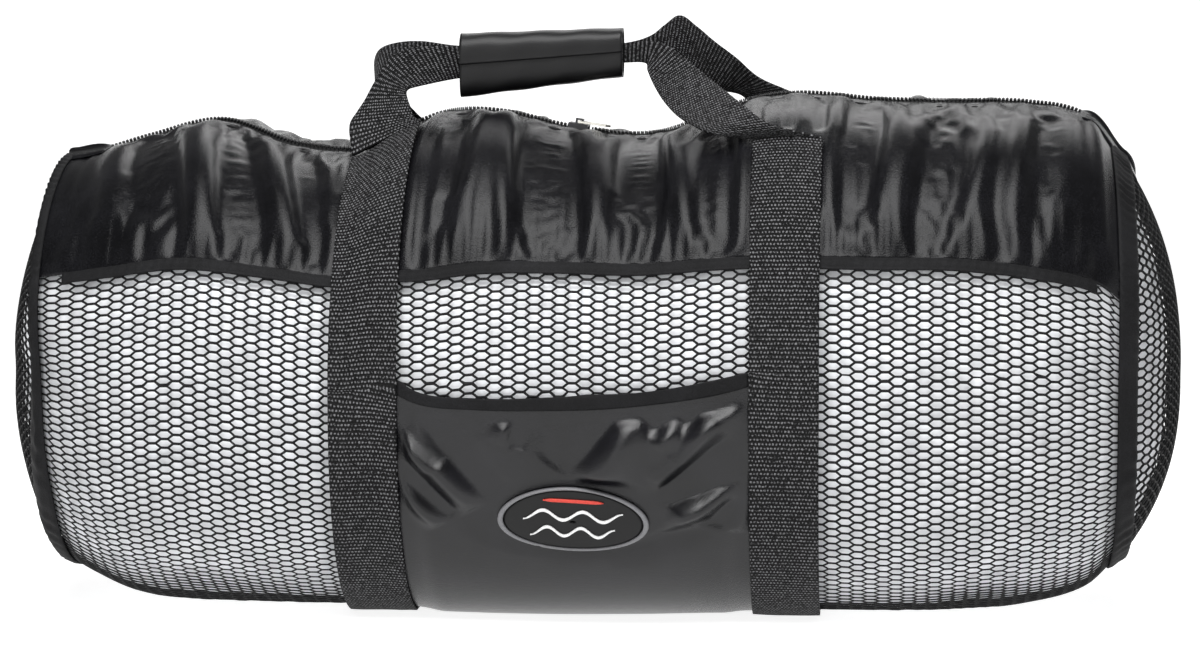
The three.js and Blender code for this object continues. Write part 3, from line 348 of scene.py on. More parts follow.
def nylon_material(name, base, rough, grain, ior):
    shader = Shader(name, Roughness=rough, IOR=ior)
    fine = shader.noise(900, 2, 0.7)
    cloud = shader.noise(24, 3, 0.6)
    mixed = shader.math("ADD", shader.math("MULTIPLY", cloud, 0.4), shader.math("MULTIPLY", fine, 0.6))
    colour = shader.ramp(mixed, (0.42, base), (0.68, tuple(4 * c for c in base)))
    bumped = shader.bump(fine, 0.0003, grain)
    return shader.set(Base_Color=colour, Normal=bumped)


NYLON = nylon_material("nylon_satin", (0.0022, 0.0022, 0.0026), 0.2, 0.8, 1.23)
HEM_CLOTH = nylon_material("nylon_hem", (0.0022, 0.0022, 0.0025), 0.75, 1.0, 1.26)
POCKET_CLOTH = nylon_material("nylon_pocket", (0.0022, 0.0022, 0.0027), 0.2, 1.0, 1.4)
# The webbing's second, grey colour is the painted glint on the weave's raised dashes
WEBBING = webbing_material("webbing_black", (0.0012, 0.0012, 0.0014), (0.13, 0.13, 0.135))


def plain(name, colour, rough, metal=0.0, scale=900, height=0.0001, strength=0.3, ior=1.45):
    shader = Shader(name, Roughness=rough, Metallic=metal, IOR=ior)
    grain = shader.noise(scale, 2)
    dark = tuple(0.8 * c for c in colour)
    pale = tuple(min(1, 1.15 * c) for c in colour)
    tinted = shader.ramp(grain, (0.25, dark), (0.75, pale))
    return shader.set(Base_Color=tinted, Normal=shader.bump(grain, height, strength))


NET_YARN = plain("net_yarn", (0.002, 0.002, 0.0024), 0.55, 0, 2500, ior=1.3)
TAPE_CLOTH = plain("tape_cloth", (0.003, 0.003, 0.0033), 0.7, ior=1.3)
COIL_PLASTIC = plain("coil_plastic", (0.006, 0.006, 0.0065), 0.28)
SLIDER_METAL = plain("slider_enamel", (0.03, 0.03, 0.032), 0.3, 0.5)
PULL_METAL = plain("pull_nickel", (0.72, 0.7, 0.64), 0.28, 1)
GRIP_CLOTH = plain("grip_cloth", (0.0026, 0.0026, 0.003), 0.42, 0, 1400, 0.0002, 0.5, 1.34)
BADGE_RUBBER = plain("badge_rubber", (0.0015, 0.0015, 0.0017), 0.5, ior=1.35)
RIM_RUBBER = plain("rim_rubber", (0.13, 0.13, 0.137), 0.5)
WHITE_RUBBER = plain("white_rubber", (0.65, 0.65, 0.65), 0.5)
RED_RUBBER = plain("red_rubber", (0.5, 0.035, 0.02), 0.45)
PACKING_COVER = plain("packing_cover", (0.78, 0.79, 0.815), 0.75, 0, 60, 0.0008, 0.3)


# Puckers of the yokes: top and foot are x in millimetres at the zip and at the hem, width is half of
# the steep side's, drop is how far it steps, and start and end are shares of the way from zip to hem
FRONT_PUCKERS = {
    "top": [-352, -318, -284, -262, -232, -205, -112, -84, -52, -16, 22, 52, 80, 108, 196, 226, 262,
            300, 338],
    "foot": [-330, -276, -262, -214, -190, -184, -122, -94, -40, 8, 30, 66, 88, 118, 186, 206, 236,
             266, 318],
    "width": [9, 11, 9, 11, 9, 7, 8, 10, 10, 9, 8, 8, 7, 8, 8, 9, 9, 9, 8],
    "drop": [-4, 6, -6, 6, -6, 4, -4, 6, -7, 6, -4, 4, -4, 4, -5, 5, -5, 4, -3],
    "start": [0.1, 0.1, 0.2, 0.0, 0.05, 0.2, 0.1, 0.0, 0.05, 0.0, 0.1, 0.1, 0.3, 0.2, 0.1, 0.1, 0.2,
              0.3, 0.2],
    "end": [0.8, 0.9, 1.0, 0.9, 1.0, 1.0, 0.7, 1.0, 1.0, 1.0, 0.7, 0.8, 1.0, 1.0, 0.8, 0.9, 1.0,
            1.0, 0.9],
}
BACK_PUCKERS = {
    "top": [-320, -284, -240, -205, -104, -70, -30, 10, 50, 96, 200, 240, 286, 330],
    "foot": [-300, -260, -228, -196, -110, -64, -26, 4, 60, 104, 190, 226, 270, 318],
    "width": [10, 10, 9, 8, 9, 10, 10, 9, 9, 9, 8, 9, 10, 9],
    "drop": [-5, 6, -5, 4, -5, 6, -6, 6, -5, 4, -5, 5, -5, 4],
    "start": [0.1, 0.1, 0.2, 0.1, 0.1, 0.0, 0.05, 0.1, 0.1, 0.2, 0.1, 0.1, 0.2, 0.2],
    "end": [0.8, 0.9, 1.0, 0.9, 0.8, 1.0, 1.0, 0.9, 1.0, 0.9, 0.9, 1.0, 1.0, 0.9],
}


def strap_gap(x):
    """How far a place is from the nearest strap, below 0 under it."""
    return np.maximum(STRAP_INNER - np.abs(x), np.abs(x) - STRAP_OUTER)


def puckers(table, x, girth):
    """The steep-sided folds that the gathered yoke shows."""
    down = np.clip(np.abs(girth) - 1, 0, 1)
    lift = np.zeros(np.broadcast(x, girth).shape)
    for top, foot, width, drop, start, end in zip(*table.values()):
        t = (x - top - (foot - top) * down) / width
        run = np.sqrt(np.clip(np.sin(np.pi * np.clip((down - start) / (end - start), 0, 1)), 0, 1))
        lift += drop * t * np.exp(-(t / 1.9) ** 2) * run
    return lift * smooth(strap_gap(x), -4, 16) * smooth(HALF_LENGTH - np.abs(x), 0, WEBBING_WIDTH)


def gathers(x, girth):
    """Small gathers over the seams of the yoke's hem and its ends."""
    down = np.clip(np.abs(girth) - 1, 0, 1)
    phase = x / 11 + 1.3 * np.sin(x / 37) + 0.7 * np.sin(x / 13.7)
    near_hem = np.exp(-((1 - down) / 0.12) ** 2) * smooth(1 - down, 0.0, 0.03)
    near_zip = np.exp(-(down / 0.07) ** 2)
    wide = np.sin(2 * math.pi * (x / 26 + 0.4 * np.sin(x / 61)) + 3 * down)
    return (1.1 * np.sin(2 * math.pi * phase) + 0.6 * wide) * near_hem + 0.8 * wide * near_zip


def yoke_relief(table, x, girth):
    inside = smooth(np.abs(girth) - 1, 0, 0.04) * smooth(2 - np.abs(girth), 0, 0.02)
    return (puckers(table, x, girth) + gathers(x, girth)) * inside


# Cloth that finds its own folds

# Steps between the grid places that a spring joins, across and along, and the spring's share
SPRINGS = [(1, 0, 1.0), (0, 1, 0.9), (1, 1, 0.25), (1, -1, 0.25), (2, 0, 0.06), (0, 2, 0.16), (0, 4, 0.05)]
ROUNDS = 260
CLOTH_WALL = 1.2


def pairs(shape, across, along):
    """Pairs of grid places a step apart, in two lots that share no place."""
    ids = np.arange(shape[0] * shape[1]).reshape(shape)
    left = slice(max(0, -along), shape[1] - max(0, along))
    right = slice(max(0, along), shape[1] + min(0, along))
    first = ids[:shape[0] - across, left]
    second = ids[across:, right]
    if across:
        turn = (np.arange(first.shape[0]) // across) % 2
        return [(first[turn == k].ravel(), second[turn == k].ravel()) for k in (0, 1)]
    turn = (np.arange(first.shape[1]) // along) % 2
    return [(first[:, turn == k].ravel(), second[:, turn == k].ravel()) for k in (0, 1)]


def settle(base, normal, lift, slack_x, slack_y, free, low, high, rounds):
    """Cloth longer than the face it lies on, held where free is 0, left to buckle. Lengths are kept as
    they are on the base and made longer by the slack; heights stay between low and high."""
    shape = base.shape[:2]
    flat = base.reshape(-1, 3)
    up = normal.reshape(-1, 3)
    weight = free.ravel()
    points = flat + up * lift.reshape(-1, 1)
    lots = []
    for across, along, share in SPRINGS:
        for a, b in pairs(shape, across, along):
            gap = flat[b] - flat[a]
            longer_x = 1 + (slack_x.ravel()[a] + slack_x.ravel()[b]) / 2
            longer_y = 1 + (slack_y.ravel()[a] + slack_y.ravel()[b]) / 2
            span = np.linalg.norm(gap, axis=1)
            part = np.clip(np.abs(gap[:, 0]) / np.maximum(span, 1e-6), 0, 1) ** 2
            rest = span * np.sqrt(part * longer_x ** 2 + (1 - part) * longer_y ** 2)
            total = weight[a] + weight[b]
            useful = total > 0
            lots.append((a[useful], b[useful], rest[useful], share, weight[a][useful, None],
                         weight[b][useful, None], total[useful]))
    low = low.ravel()
    high = high.ravel()
    for _ in range(rounds):
        for a, b, rest, share, weight_a, weight_b, total in lots:
            gap = points[b] - points[a]
            span = np.sqrt(np.einsum("ij,ij->i", gap, gap))
            move = gap * (share * (span - rest) / (np.maximum(span, 1e-6) * total))[:, None]
            points[a] += move * weight_a
            points[b] -= move * weight_b
        height = np.einsum("ij,ij->i", points - flat, up)
        points += up * (np.clip(height, low, high) - height)[:, None]
    return points.reshape(base.shape)


def eased(points, share):
    """A grid with every inner place drawn towards the middle of its neighbours."""
    out = points.copy()
    around = (out[:-2, 1:-1] + out[2:, 1:-1] + out[1:-1, :-2] + out[1:-1, 2:]) / 4
    out[1:-1, 1:-1] += share * (around - out[1:-1, 1:-1])
    return out


def denser(points):
    """A grid with a smooth row put in between every two, both ways."""
    for _ in range(2):
        padded = np.concatenate([2 * points[:1] - points[1:2], points, 2 * points[-1:] - points[-2:-1]])
        between = (9 * (padded[1:-2] + padded[2:-1]) - padded[:-3] - padded[3:]) / 16
        out = np.empty((2 * len(points) - 1, *points.shape[1:]))
        out[0::2] = points
        out[1::2] = between
        points = out.swapaxes(0, 1)
    return points


def shell(points, outside, thickness):
    """Points, faces and flat places of a thick sheet through a grid of points."""
    normal = unit(np.cross(np.gradient(points, axis=0), np.gradient(points, axis=1)))
    if np.sum(normal * outside) < 0:
        normal = -normal
    rows, columns = points.shape[:2]
    return sheet_mesh(np.arange(rows), np.arange(columns), lambda u, v: (points, normal), -thickness, 0)


def measured(points):
    """A grid's mean lengths both ways and its area, in metres."""
    along = np.linalg.norm(np.diff(points, axis=0), axis=-1).sum(axis=0).mean() / 1000
    across = np.linalg.norm(np.diff(points, axis=1), axis=-1).sum(axis=1).mean() / 1000
    step_x = (points[1:, :-1] - points[:-1, :-1] + points[1:, 1:] - points[:-1, 1:]) / 2
    step_y = (points[:-1, 1:] - points[:-1, :-1] + points[1:, 1:] - points[1:, :-1]) / 2
    area = np.linalg.norm(np.cross(step_x, step_y), axis=-1).sum() / 1e6
    return (float(across), float(along)), float(area)


def make_yoke(name, side, table, columns, rows):
    """A yoke of settled cloth, held down under the straps, and its flat size and area."""
    xs = np.linspace(-HALF_LENGTH, HALF_LENGTH, columns)
    girths = side * np.linspace(1, 1.999, rows)
    grid_x, grid_g = np.meshgrid(xs, girths, indexing="ij")
    base, normal = wall(grid_x, grid_g)
    down = np.abs(grid_g) - 1
    crest = np.where(grid_x < 0, CRESTS["left", side], CRESTS["right", side]) / 6
    gap = strap_gap(grid_x)
    under = (gap < 0) & (down > crest - 0.02)
    free = np.where(under, 0.0, 1.0)
    free[0] = free[-1] = 0
    free[:, 0] = free[:, -1] = 0
    near = np.where(down > crest - 0.1, smooth(gap, -2, 14), 1.0)
    near_end = smooth(HALF_LENGTH - np.abs(grid_x), 0, 140)
    belly = np.sin(np.pi * np.clip(down, 0, 1)) ** 0.6
    lift = yoke_relief(table, grid_x, grid_g)
    slack_x = (0.035 + 0.085 * belly) * near * (0.15 + 0.85 * near_end)
    slack_y = 0.006 * near
    low = -2.4 * near * smooth(down, 0, 0.04) - 0.3
    high = 0.3 + 7.5 * near * smooth(down, 0, 0.1) * smooth(1 - down, 0, 0.1) * (0.3 + 0.7 * near_end)
    cloth = settle(base, normal, lift, slack_x, slack_y, free, low, high, ROUNDS)
    cloth = denser(eased(cloth, 0.35))
    made = piece(name + "_cloth", shell(cloth, denser(normal), CLOTH_WALL), NYLON, name)
    return made, measured(cloth)


# The net

# How far the yarn's middle lies below the wall's outer face
NET_DEPTH = 0.8


class Net:
    """A lattice of long cells, as flat places. Cells stand in columns half a pitch apart."""

    PITCH = 18.5
    DROP = 6.7
    KNOT = 2.3
    STRAND = 0.95

    def __init__(self, half_pitch, drop, ridge):
        self.ridge = ridge
        side = half_pitch - self.KNOT
        high = drop / 2
        knot = self.KNOT
        right = [(knot, high), (side, 0), (knot, -high)]
        self.rim = np.array(right + [(-x, -y) for x, y in right])
        low = 1 - 1.08 * self.STRAND / high
        narrow = 1 - 1.75 * self.STRAND / side
        self.hole = self.rim * np.where(self.rim[:, 1:] == 0, (narrow, 1), (1.06, low))

    def build(self, centres, place):
        """Points and faces of the strands round every cell. place gives a ridge's and an edge's point."""
        corners = centres[:, None, :] + self.rim[None]
        keys = np.round(corners * 50).astype(np.int64).reshape(-1, 2)
        _, first, index = np.unique(keys, axis=0, return_index=True, return_inverse=True)
        rims = index.reshape(len(centres), 6)
        flat_rim = corners.reshape(-1, 2)[first]
        flat_hole = (centres[:, None, :] + self.hole[None]).reshape(-1, 2)
        rim_point, rim_normal = place(flat_rim)
        hole_point, _ = place(flat_hole)
        count = len(flat_rim)
        points = np.concatenate([rim_point + rim_normal * self.ridge, rim_point - rim_normal * self.ridge,
                                 hole_point])
        holes = 2 * count + np.arange(len(centres) * 6).reshape(-1, 6)
        following = np.roll(np.arange(6), -1)
        top = np.stack([rims, holes, holes[:, following], rims[:, following]], -1).reshape(-1, 4)
        low = np.stack([rims + count, rims[:, following] + count, holes[:, following], holes], -1)
        edges = np.stack([rims, rims[:, following]], -1).reshape(-1, 2)
        tidy = np.sort(edges, axis=1)
        codes = tidy[:, 0] * (count + 1) + tidy[:, 1]
        _, where, times = np.unique(codes, return_index=True, return_counts=True)
        open_edges = edges[where[times == 1]]
        walls = np.stack([open_edges[:, 0], open_edges[:, 1], open_edges[:, 1] + count,
                          open_edges[:, 0] + count], -1)
        return points, np.concatenate([top, low.reshape(-1, 4), walls])


class ArcTable:
    """Girths at even shares of the arc from the front hem, under the bag, to the back hem."""

    def __init__(self):
        self.xs = np.linspace(-HALF_LENGTH, HALF_LENGTH, 161)
        girths = np.linspace(2, 4, 401)
        self.shares = np.linspace(0, 1, 401)
        grid_x, grid_g = np.meshgrid(self.xs, girths, indexing="ij")
        points = wall_point(grid_x, grid_g)
        steps = np.linalg.norm(np.diff(points, axis=1), axis=-1)
        arcs = np.concatenate([np.zeros((len(self.xs), 1)), np.cumsum(steps, axis=1)], axis=1)
        self.length = arcs[:, -1].max()
        self.table = np.array([np.interp(self.shares, row / row[-1], girths) for row in arcs])

    def girth(self, x, share):
        fx = np.clip((x - self.xs[0]) / (self.xs[1] - self.xs[0]), 0, len(self.xs) - 1.001)
        fs = np.clip(share, 0, 1) * (len(self.shares) - 1.001)
        i = fx.astype(int)
        j = fs.astype(int)
        a = fx - i
        b = fs - j
        t = self.table
        return ((1 - a) * (1 - b) * t[i, j] + a * (1 - b) * t[i + 1, j]
                + (1 - a) * b * t[i, j + 1] + a * b * t[i + 1, j + 1])


def make_body_net():
    arcs = ArcTable()
    reach = HALF_LENGTH - 8
    halves = round(2 * reach / (Net.PITCH / 2))
    half_pitch = 2 * reach / halves
    count = round(arcs.length / Net.DROP)
    net = Net(half_pitch, Net.DROP, 0.55)
    total = count * Net.DROP
    centres = []
    for k in range(halves + 1):
        x = -reach + k * half_pitch
        rows = np.arange(0 if k % 2 else 0.5, count - 0.2, 1.0) + 0.25
        centres.append(np.stack([np.full(len(rows), x), rows * Net.DROP], -1))
    centres = np.concatenate(centres)
    girth = arcs.girth(centres[:, 0], centres[:, 1] / total)
    under_strap = np.abs(np.abs(centres[:, 0]) - STRAP_SPACING / 2) < WEBBING_WIDTH / 2 - half_pitch
    under_pocket = (np.abs(centres[:, 0]) < STRAP_INNER) & (girth > 2.42) & (girth < 2.9)
    centres = centres[~(under_strap | under_pocket)]

    def place(flat):
        g = arcs.girth(flat[:, 0], flat[:, 1] / total)
        point, normal = wall(flat[:, 0], g)
        return point - normal * NET_DEPTH, normal

    lots = {
        "body_net_left": centres[:, 0] < -STRAP_SPACING / 2,
        "body_net_middle": np.abs(centres[:, 0]) <= STRAP_SPACING / 2,
        "body_net_right": centres[:, 0] > STRAP_SPACING / 2,
    }
    for name, chosen in lots.items():
        piece(name, net.build(centres[chosen], place), NET_YARN, "body_net")


def end_rim(side):
    """The rim of an end panel as angles round its middle and radii."""
    girths = np.linspace(0, 6, 721)[:-1]
    points = wall_point(np.full(girths.shape, side * HALF_LENGTH), girths)
    angle = np.arctan2(points[:, 2] - END_MIDDLE_HEIGHT, points[:, 1])
    radius = np.hypot(points[:, 1], points[:, 2] - END_MIDDLE_HEIGHT)
    order = np.argsort(angle)
    return angle[order], radius[order]


def end_dome(side, y, z):
    """Points, normals and ring shares of the domed end over places of its plane."""
    angles, radii = end_rim(side)
    power = DOME_POWERS[side]

    def depth(yy, zz):
        angle = np.arctan2(zz - END_MIDDLE_HEIGHT, yy)
        rim = np.interp(angle, angles, radii, period=2 * math.pi)
        ring = np.hypot(yy, zz - END_MIDDLE_HEIGHT) / rim
        return side * (HALF_LENGTH + END_LIFT + END_BULGE * (1 - np.clip(ring, 0, 1.05) ** power)), ring

    x, ring = depth(y, z)
    slope_y = (depth(y + 1, z)[0] - depth(y - 1, z)[0]) / 2
    slope_z = (depth(y, z + 1)[0] - depth(y, z - 1)[0]) / 2
    normal = unit(np.stack([np.ones_like(x), -slope_y, -slope_z], -1)) * side
    return np.stack([x, y, z], -1), normal, ring


def make_end_net(name, side):
    half_pitch = Net.PITCH / 2
    net = Net(half_pitch, Net.DROP, 1.1)
    columns = math.ceil(HALF_DEPTH / half_pitch)
    centres = []
    for k in range(-columns, columns + 1):
        rows = np.arange(math.ceil(BODY_HEIGHT / Net.DROP)) + (0.5 if k % 2 else 0)
        centres.append(np.stack([np.full(len(rows), k * half_pitch), rows * Net.DROP], -1))
    centres = np.concatenate(centres)
    corners = centres[:, None, :] + net.rim[None]
    _, _, ring = end_dome(side, corners[..., 0], corners[..., 1])
    centres = centres[ring.max(axis=1) < 1.0]

    def place(flat):
        point, normal, _ = end_dome(side, flat[:, 0], flat[:, 1])
        return point - normal * NET_DEPTH, normal

    piece(name + "_end_net_yarn", net.build(centres, place), NET_YARN, name + "_end_net")


def make_packing():
    """The smooth white filling that shows through the net."""
    inner = HALF_LENGTH - 6

    def surface(u, girth):
        side = np.where(u < 0, -1.0, 1.0)
        point = wall_point(np.clip(u, -1, 1) * inner, girth)
        middle = point.copy()
        middle[..., 1] = 0
        middle[..., 2] = END_MIDDLE_HEIGHT
        away = unit(point - middle)
        wrapped = np.where(girth > 3, girth - 6, girth)
        under = np.clip((2 - np.abs(wrapped)) / 0.6, 0, 1)
        lumps = (1.2 * np.sin(point[..., 0] / 47 + 2 * np.sin(wrapped * 2.3))
                 + np.sin(wrapped * 6.1 + point[..., 0] / 90))
        body = point - away * (5.2 + 9 * under + lumps * 0.6)[..., None]
        ring = 2 - np.maximum(np.abs(u), 1)
        out = middle + (body - middle) * ring[..., None]
        power = np.where(side < 0, DOME_POWERS[-1], DOME_POWERS[1])
        out[..., 0] += side * (END_BULGE - 3) * (1 - ring ** power)
        return out

    rings = np.linspace(1.04, 1.985, 22)
    us = np.concatenate([-rings[::-1], np.linspace(-1, 1, 141), rings])
    girths = np.linspace(0, 6, 145)[:-1]
    grid_u, grid_g = np.meshgrid(us, girths, indexing="ij")
    points = surface(grid_u, grid_g)
    rows, columns = grid_u.shape
    ids = np.arange(rows * columns).reshape(rows, columns)
    ids = np.concatenate([ids, ids[:, :1]], axis=1)
    quads = np.stack([ids[:-1, :-1], ids[1:, :-1], ids[1:, 1:], ids[:-1, 1:]], -1).reshape(-1, 4)
    caps = [ids[0, :-1][::-1].tolist(), ids[-1, :-1].tolist()]
    faces = outward(points.reshape(-1, 3), quads)
    if faces is not quads:
        caps = [cap[::-1] for cap in caps]
    parts = (points.reshape(-1, 3), faces.tolist() + caps)
    return piece("packing_form", parts, PACKING_COVER, "packing_filler")


# Straps, hems, pocket and bindings

STRAP_LOW = 2.6
STRAP_FACE = 4.25
HEM_WIDTH = 9
HEM_END = 25


def make_strap(name, side):
    first = 1 + CRESTS[name, 1] / 6
    last = 5 - CRESTS[name, -1] / 6
    girths = np.linspace(first, last, 420)
    xs = side * np.linspace(STRAP_INNER, STRAP_OUTER, 21)
    middle = side * STRAP_SPACING / 2
    point, _ = wall(middle, girths)
    edge = np.abs(xs - middle)[:, None] / (WEBBING_WIDTH / 2)
    crown = 0.35 * (1 - edge ** 4)
    points, faces, flat = sheet_mesh(xs, girths, wall, STRAP_LOW, STRAP_FACE + crown)
    flat = np.stack([flat[:, 0] - middle, np.interp(flat[:, 1], girths, arc_along(point))], -1)
    piece(name + "_strap_webbing", (points, faces, flat), WEBBING, name + "_strap")


def make_hem(name, side):
    xs = np.linspace(-HALF_LENGTH + HEM_END, HALF_LENGTH - HEM_END, 480)
    vs = np.linspace(-0.12, 0.95, 12)
    width = HEM_WIDTH / arc_per_girth(2.08)
    grid_u, grid_v = np.meshgrid(xs, vs, indexing="ij")
    seam = np.exp(-((grid_v - 0.2) / 0.1) ** 2) + np.exp(-((grid_v - 0.75) / 0.1) ** 2)
    ripple = 0.22 * np.sin(2 * math.pi * (grid_u / 7.3 + 0.3 * np.sin(grid_u / 23)) + 2 * grid_v)
    top = 1.8 + ripple - seam * (0.25 + 0.15 * np.sin(2 * math.pi * grid_u / 3.1))
    parts = sheet_mesh(xs, vs, lambda u, v: wall(u, side * (2 + v * width)), 0.5, top)
    piece(name + "_band", parts, HEM_CLOTH, name)


def over_rim(side, body_x, ring, girth, blend):
    """Points and normals that run from the body's wall over its rim to an end's dome."""
    point, normal = wall(body_x, girth)
    ends, end_normal = end_place(side, ring, girth)
    over = blend[..., None]
    return point * (1 - over) + ends * over, unit(normal * (1 - over) + end_normal * over)


# How far the bindings reach over the ends, as shares of the ring, and over the body
BINDING_RINGS = {-1: 0.1, 1: 0.034}
BINDING_BODY = 8
PLEATS = 120


def make_binding(name, side):
    """The gathered band over a rim, as a row of pleats."""
    girths = np.linspace(0, 6, 7 * PLEATS + 1)[:-1]
    reaches = np.linspace(-1, 1, 9)

    def place(reach, girth):
        body_x = side * (HALF_LENGTH - BINDING_BODY * np.clip(-reach, 0, 1))
        ring = 1 - BINDING_RINGS[side] * np.clip(reach, 0, 1)
        return over_rim(side, body_x, ring, girth, smooth(reach, -0.25, 0.25))

    grid_r, grid_g = np.meshgrid(reaches, girths, indexing="ij")
    pleats = np.sin(2 * math.pi * PLEATS * grid_g / 6 + 1.2 * np.sin(grid_g * 9) + 0.9 * grid_r)
    body = np.sqrt(np.clip(1 - (np.abs(grid_r) * 0.97) ** 2, 0, 1))
    strong = 0.6 + 0.4 * np.sin(grid_g * 17 + 2 * np.sin(grid_g * 5))
    top = 0.9 + 2.3 * body + 0.8 * pleats * body * strong
    points, faces, _ = sheet_mesh(reaches, girths, place, 0.3, top, closed=True)
    node = name + "_end_binding"
    piece(node + "_roll", (points, faces), HEM_CLOTH, node)


TAB_BODY = 30
TAB_END = 14
TAB_HALF = 1.15
# A ring share of 1 on the end under a tab, in millimetres
TAB_RING = 147


def make_tab(name, side):
    """The soft gathered piece over an end of the zip."""
    reaches = np.linspace(-TAB_BODY, TAB_END, 45)
    girths = np.linspace(-TAB_HALF, TAB_HALF, 45)

    def place(reach, girth):
        body_x = side * (HALF_LENGTH + np.minimum(reach, 0))
        ring = 1 - np.maximum(reach, 0) / TAB_RING
        return over_rim(side, body_x, ring, girth, smooth(reach, -4, 4))

    grid_r, grid_g = np.meshgrid(reaches, girths, indexing="ij")
    middle = (TAB_END - TAB_BODY) / 2
    half = (TAB_END + TAB_BODY) / 2
    dome = np.clip((1 - ((grid_r - middle) / half) ** 4) * (1 - (grid_g / TAB_HALF) ** 4), 0, 1) ** 0.8
    folds = np.sin(grid_g * 9 + grid_r / 9) + 0.6 * np.sin(grid_r / 4 + 2 * grid_g)
    parts = sheet_mesh(reaches, girths, place, 0.3, 0.8 + (4.8 + 0.6 * folds) * dome)
    piece(name + "_tab_cloth", parts, NYLON, name + "_zip_tab")


def end_place(side, ring, girth):
    """A point and normal of an end's dome from a ring share and a girth."""
    rim = wall_point(side * HALF_LENGTH, girth)
    z = END_MIDDLE_HEIGHT + (rim[..., 2] - END_MIDDLE_HEIGHT) * ring
    point, normal, _ = end_dome(side, rim[..., 1] * ring, z)
    return point, normal


POCKET_TOP = 2.216
POCKET_FOOT = 2.95
POCKET_SAG = 14
POCKET_HEIGHT = 310
POCKET_GRIP = arc_per_girth(POCKET_TOP)
# The badge's place: its girth on the wall, its share of the pocket's height and its half sizes
BADGE_GIRTH = 2.455
BADGE_DOWN = 0.28
BADGE_HALF_LENGTH = 54.5
BADGE_HALF_HEIGHT = 25


def pocket_mouth(x):
    across = np.clip(x / STRAP_INNER, -1, 1)
    return POCKET_TOP + POCKET_SAG / POCKET_GRIP * (1 - across ** 2)


def badge_reach(x, down):
    """1 at the edge of an oval a little larger than the badge, in the pocket's flat places."""
    below = (down - BADGE_DOWN) * POCKET_HEIGHT
    return np.hypot(x / (BADGE_HALF_LENGTH + 6.5), below / (BADGE_HALF_HEIGHT + 6))


# Tension folds of the pocket: x in millimetres and down in shares of the pocket's height at both
# ends, half of the steep side's width and its drop in millimetres
POCKET_FOLDS = {
    "x": [-112, -130, 37, 126, 130, 130, 109, -41, -126, 20, 10, 84],
    "down": [0.035, 0.165, 0.01, 0.02, 0.183, 0.213, 0.08, 0.03, 0.06, 0.36, 0.04, 0.03],
    "end_x": [-62, -91, 0, 53, 55, 109, 61, -46, -98, 95, -14, 66],
    "end_down": [0.24, 0.3, 0.17, 0.075, 0.285, 0.35, 0.2, 0.09, 0.15, 0.28, 0.13, 0.11],
    "width": [8, 6, 11, 7, 8, 9, 7, 5, 5, 9, 5, 5],
    "drop": [-13, -9, 14, 9, 12, 10, -8, -6, -7, 6, 6, -6],
}


def pocket_relief(x, down):
    lift = 1.6 * np.sin(x / 41 + 3 * down) * np.sin(np.pi * np.clip(down, 0, 1))
    for x0, d0, x1, d1, width, drop in zip(*POCKET_FOLDS.values()):
        run_x = x1 - x0
        run_y = (d1 - d0) * POCKET_HEIGHT
        length = math.hypot(run_x, run_y)
        gap_x = x - x0
        gap_y = (down - d0) * POCKET_HEIGHT
        along = (gap_x * run_x + gap_y * run_y) / length ** 2
        off = (gap_x * run_y - gap_y * run_x) / length / width
        run = np.sqrt(np.clip(np.sin(np.pi * np.clip(along, 0, 1)), 0, 1))
        lift += drop * off * np.exp(-(off / 1.7) ** 2) * run
    lift *= smooth(STRAP_INNER + 1 - np.abs(x), 0, 14)
    lift *= smooth(down, 0.03, 0.055) * smooth(1 - down, 0, 0.1)
    return lift * smooth(badge_reach(x, down), 1, 1.3)


def make_pocket():
    """The pocket, and its flat size and area."""
    xs = np.linspace(-STRAP_OUTER, STRAP_OUTER, 161)
    shares = np.concatenate([np.linspace(0, 0.42, 75), np.linspace(0.42, 1, 26)[1:]])

    def surface(x, share):
        mouth = pocket_mouth(x)
        return wall_point(x, mouth + share * (POCKET_FOOT - mouth))

    def place(u, v):
        point, normal = framed(surface, u, v)
        belly = 3.6 * np.sin(np.pi * np.clip(v, 0, 1)) ** 0.4 * smooth(v, 0.03, 0.09)
        belly = belly * smooth(STRAP_INNER - np.abs(u), 0, 24) * smooth(badge_reach(u, v), 0.9, 1.5)
        swell = pocket_relief(u, v) + belly
        return point + normal * np.maximum(swell, -0.3)[..., None], normal

    points, faces, _ = sheet_mesh(xs, shares, place, 0.5, 0.5 + CLOTH_WALL)
    pocket = piece("front_pocket_cloth", (points, faces), POCKET_CLOTH, "front_pocket")
    return pocket, measured(points[:len(points) // 2].reshape(len(xs), len(shares), 3))


def make_pocket_hem():
    xs = np.linspace(-STRAP_INNER + 0.5, STRAP_INNER - 0.5, 160)
    vs = np.linspace(-0.08, 0.5, 7)
    grid_u, grid_v = np.meshgrid(xs, vs, indexing="ij")
    wave = np.sin(2 * math.pi * (grid_u / 8.3 + 0.5 * np.sin(grid_u / 19)) + 2 * grid_v)
    top = 2.8 - 0.5 * grid_v ** 2 + 0.25 * wave * (0.4 + 0.6 * grid_v)

    def place(u, v):
        return wall(u, pocket_mouth(u) + v * HEM_WIDTH / POCKET_GRIP)

    piece("pocket_hem_band", sheet_mesh(xs, vs, place, 0.6, top), HEM_CLOTH, "pocket_hem")


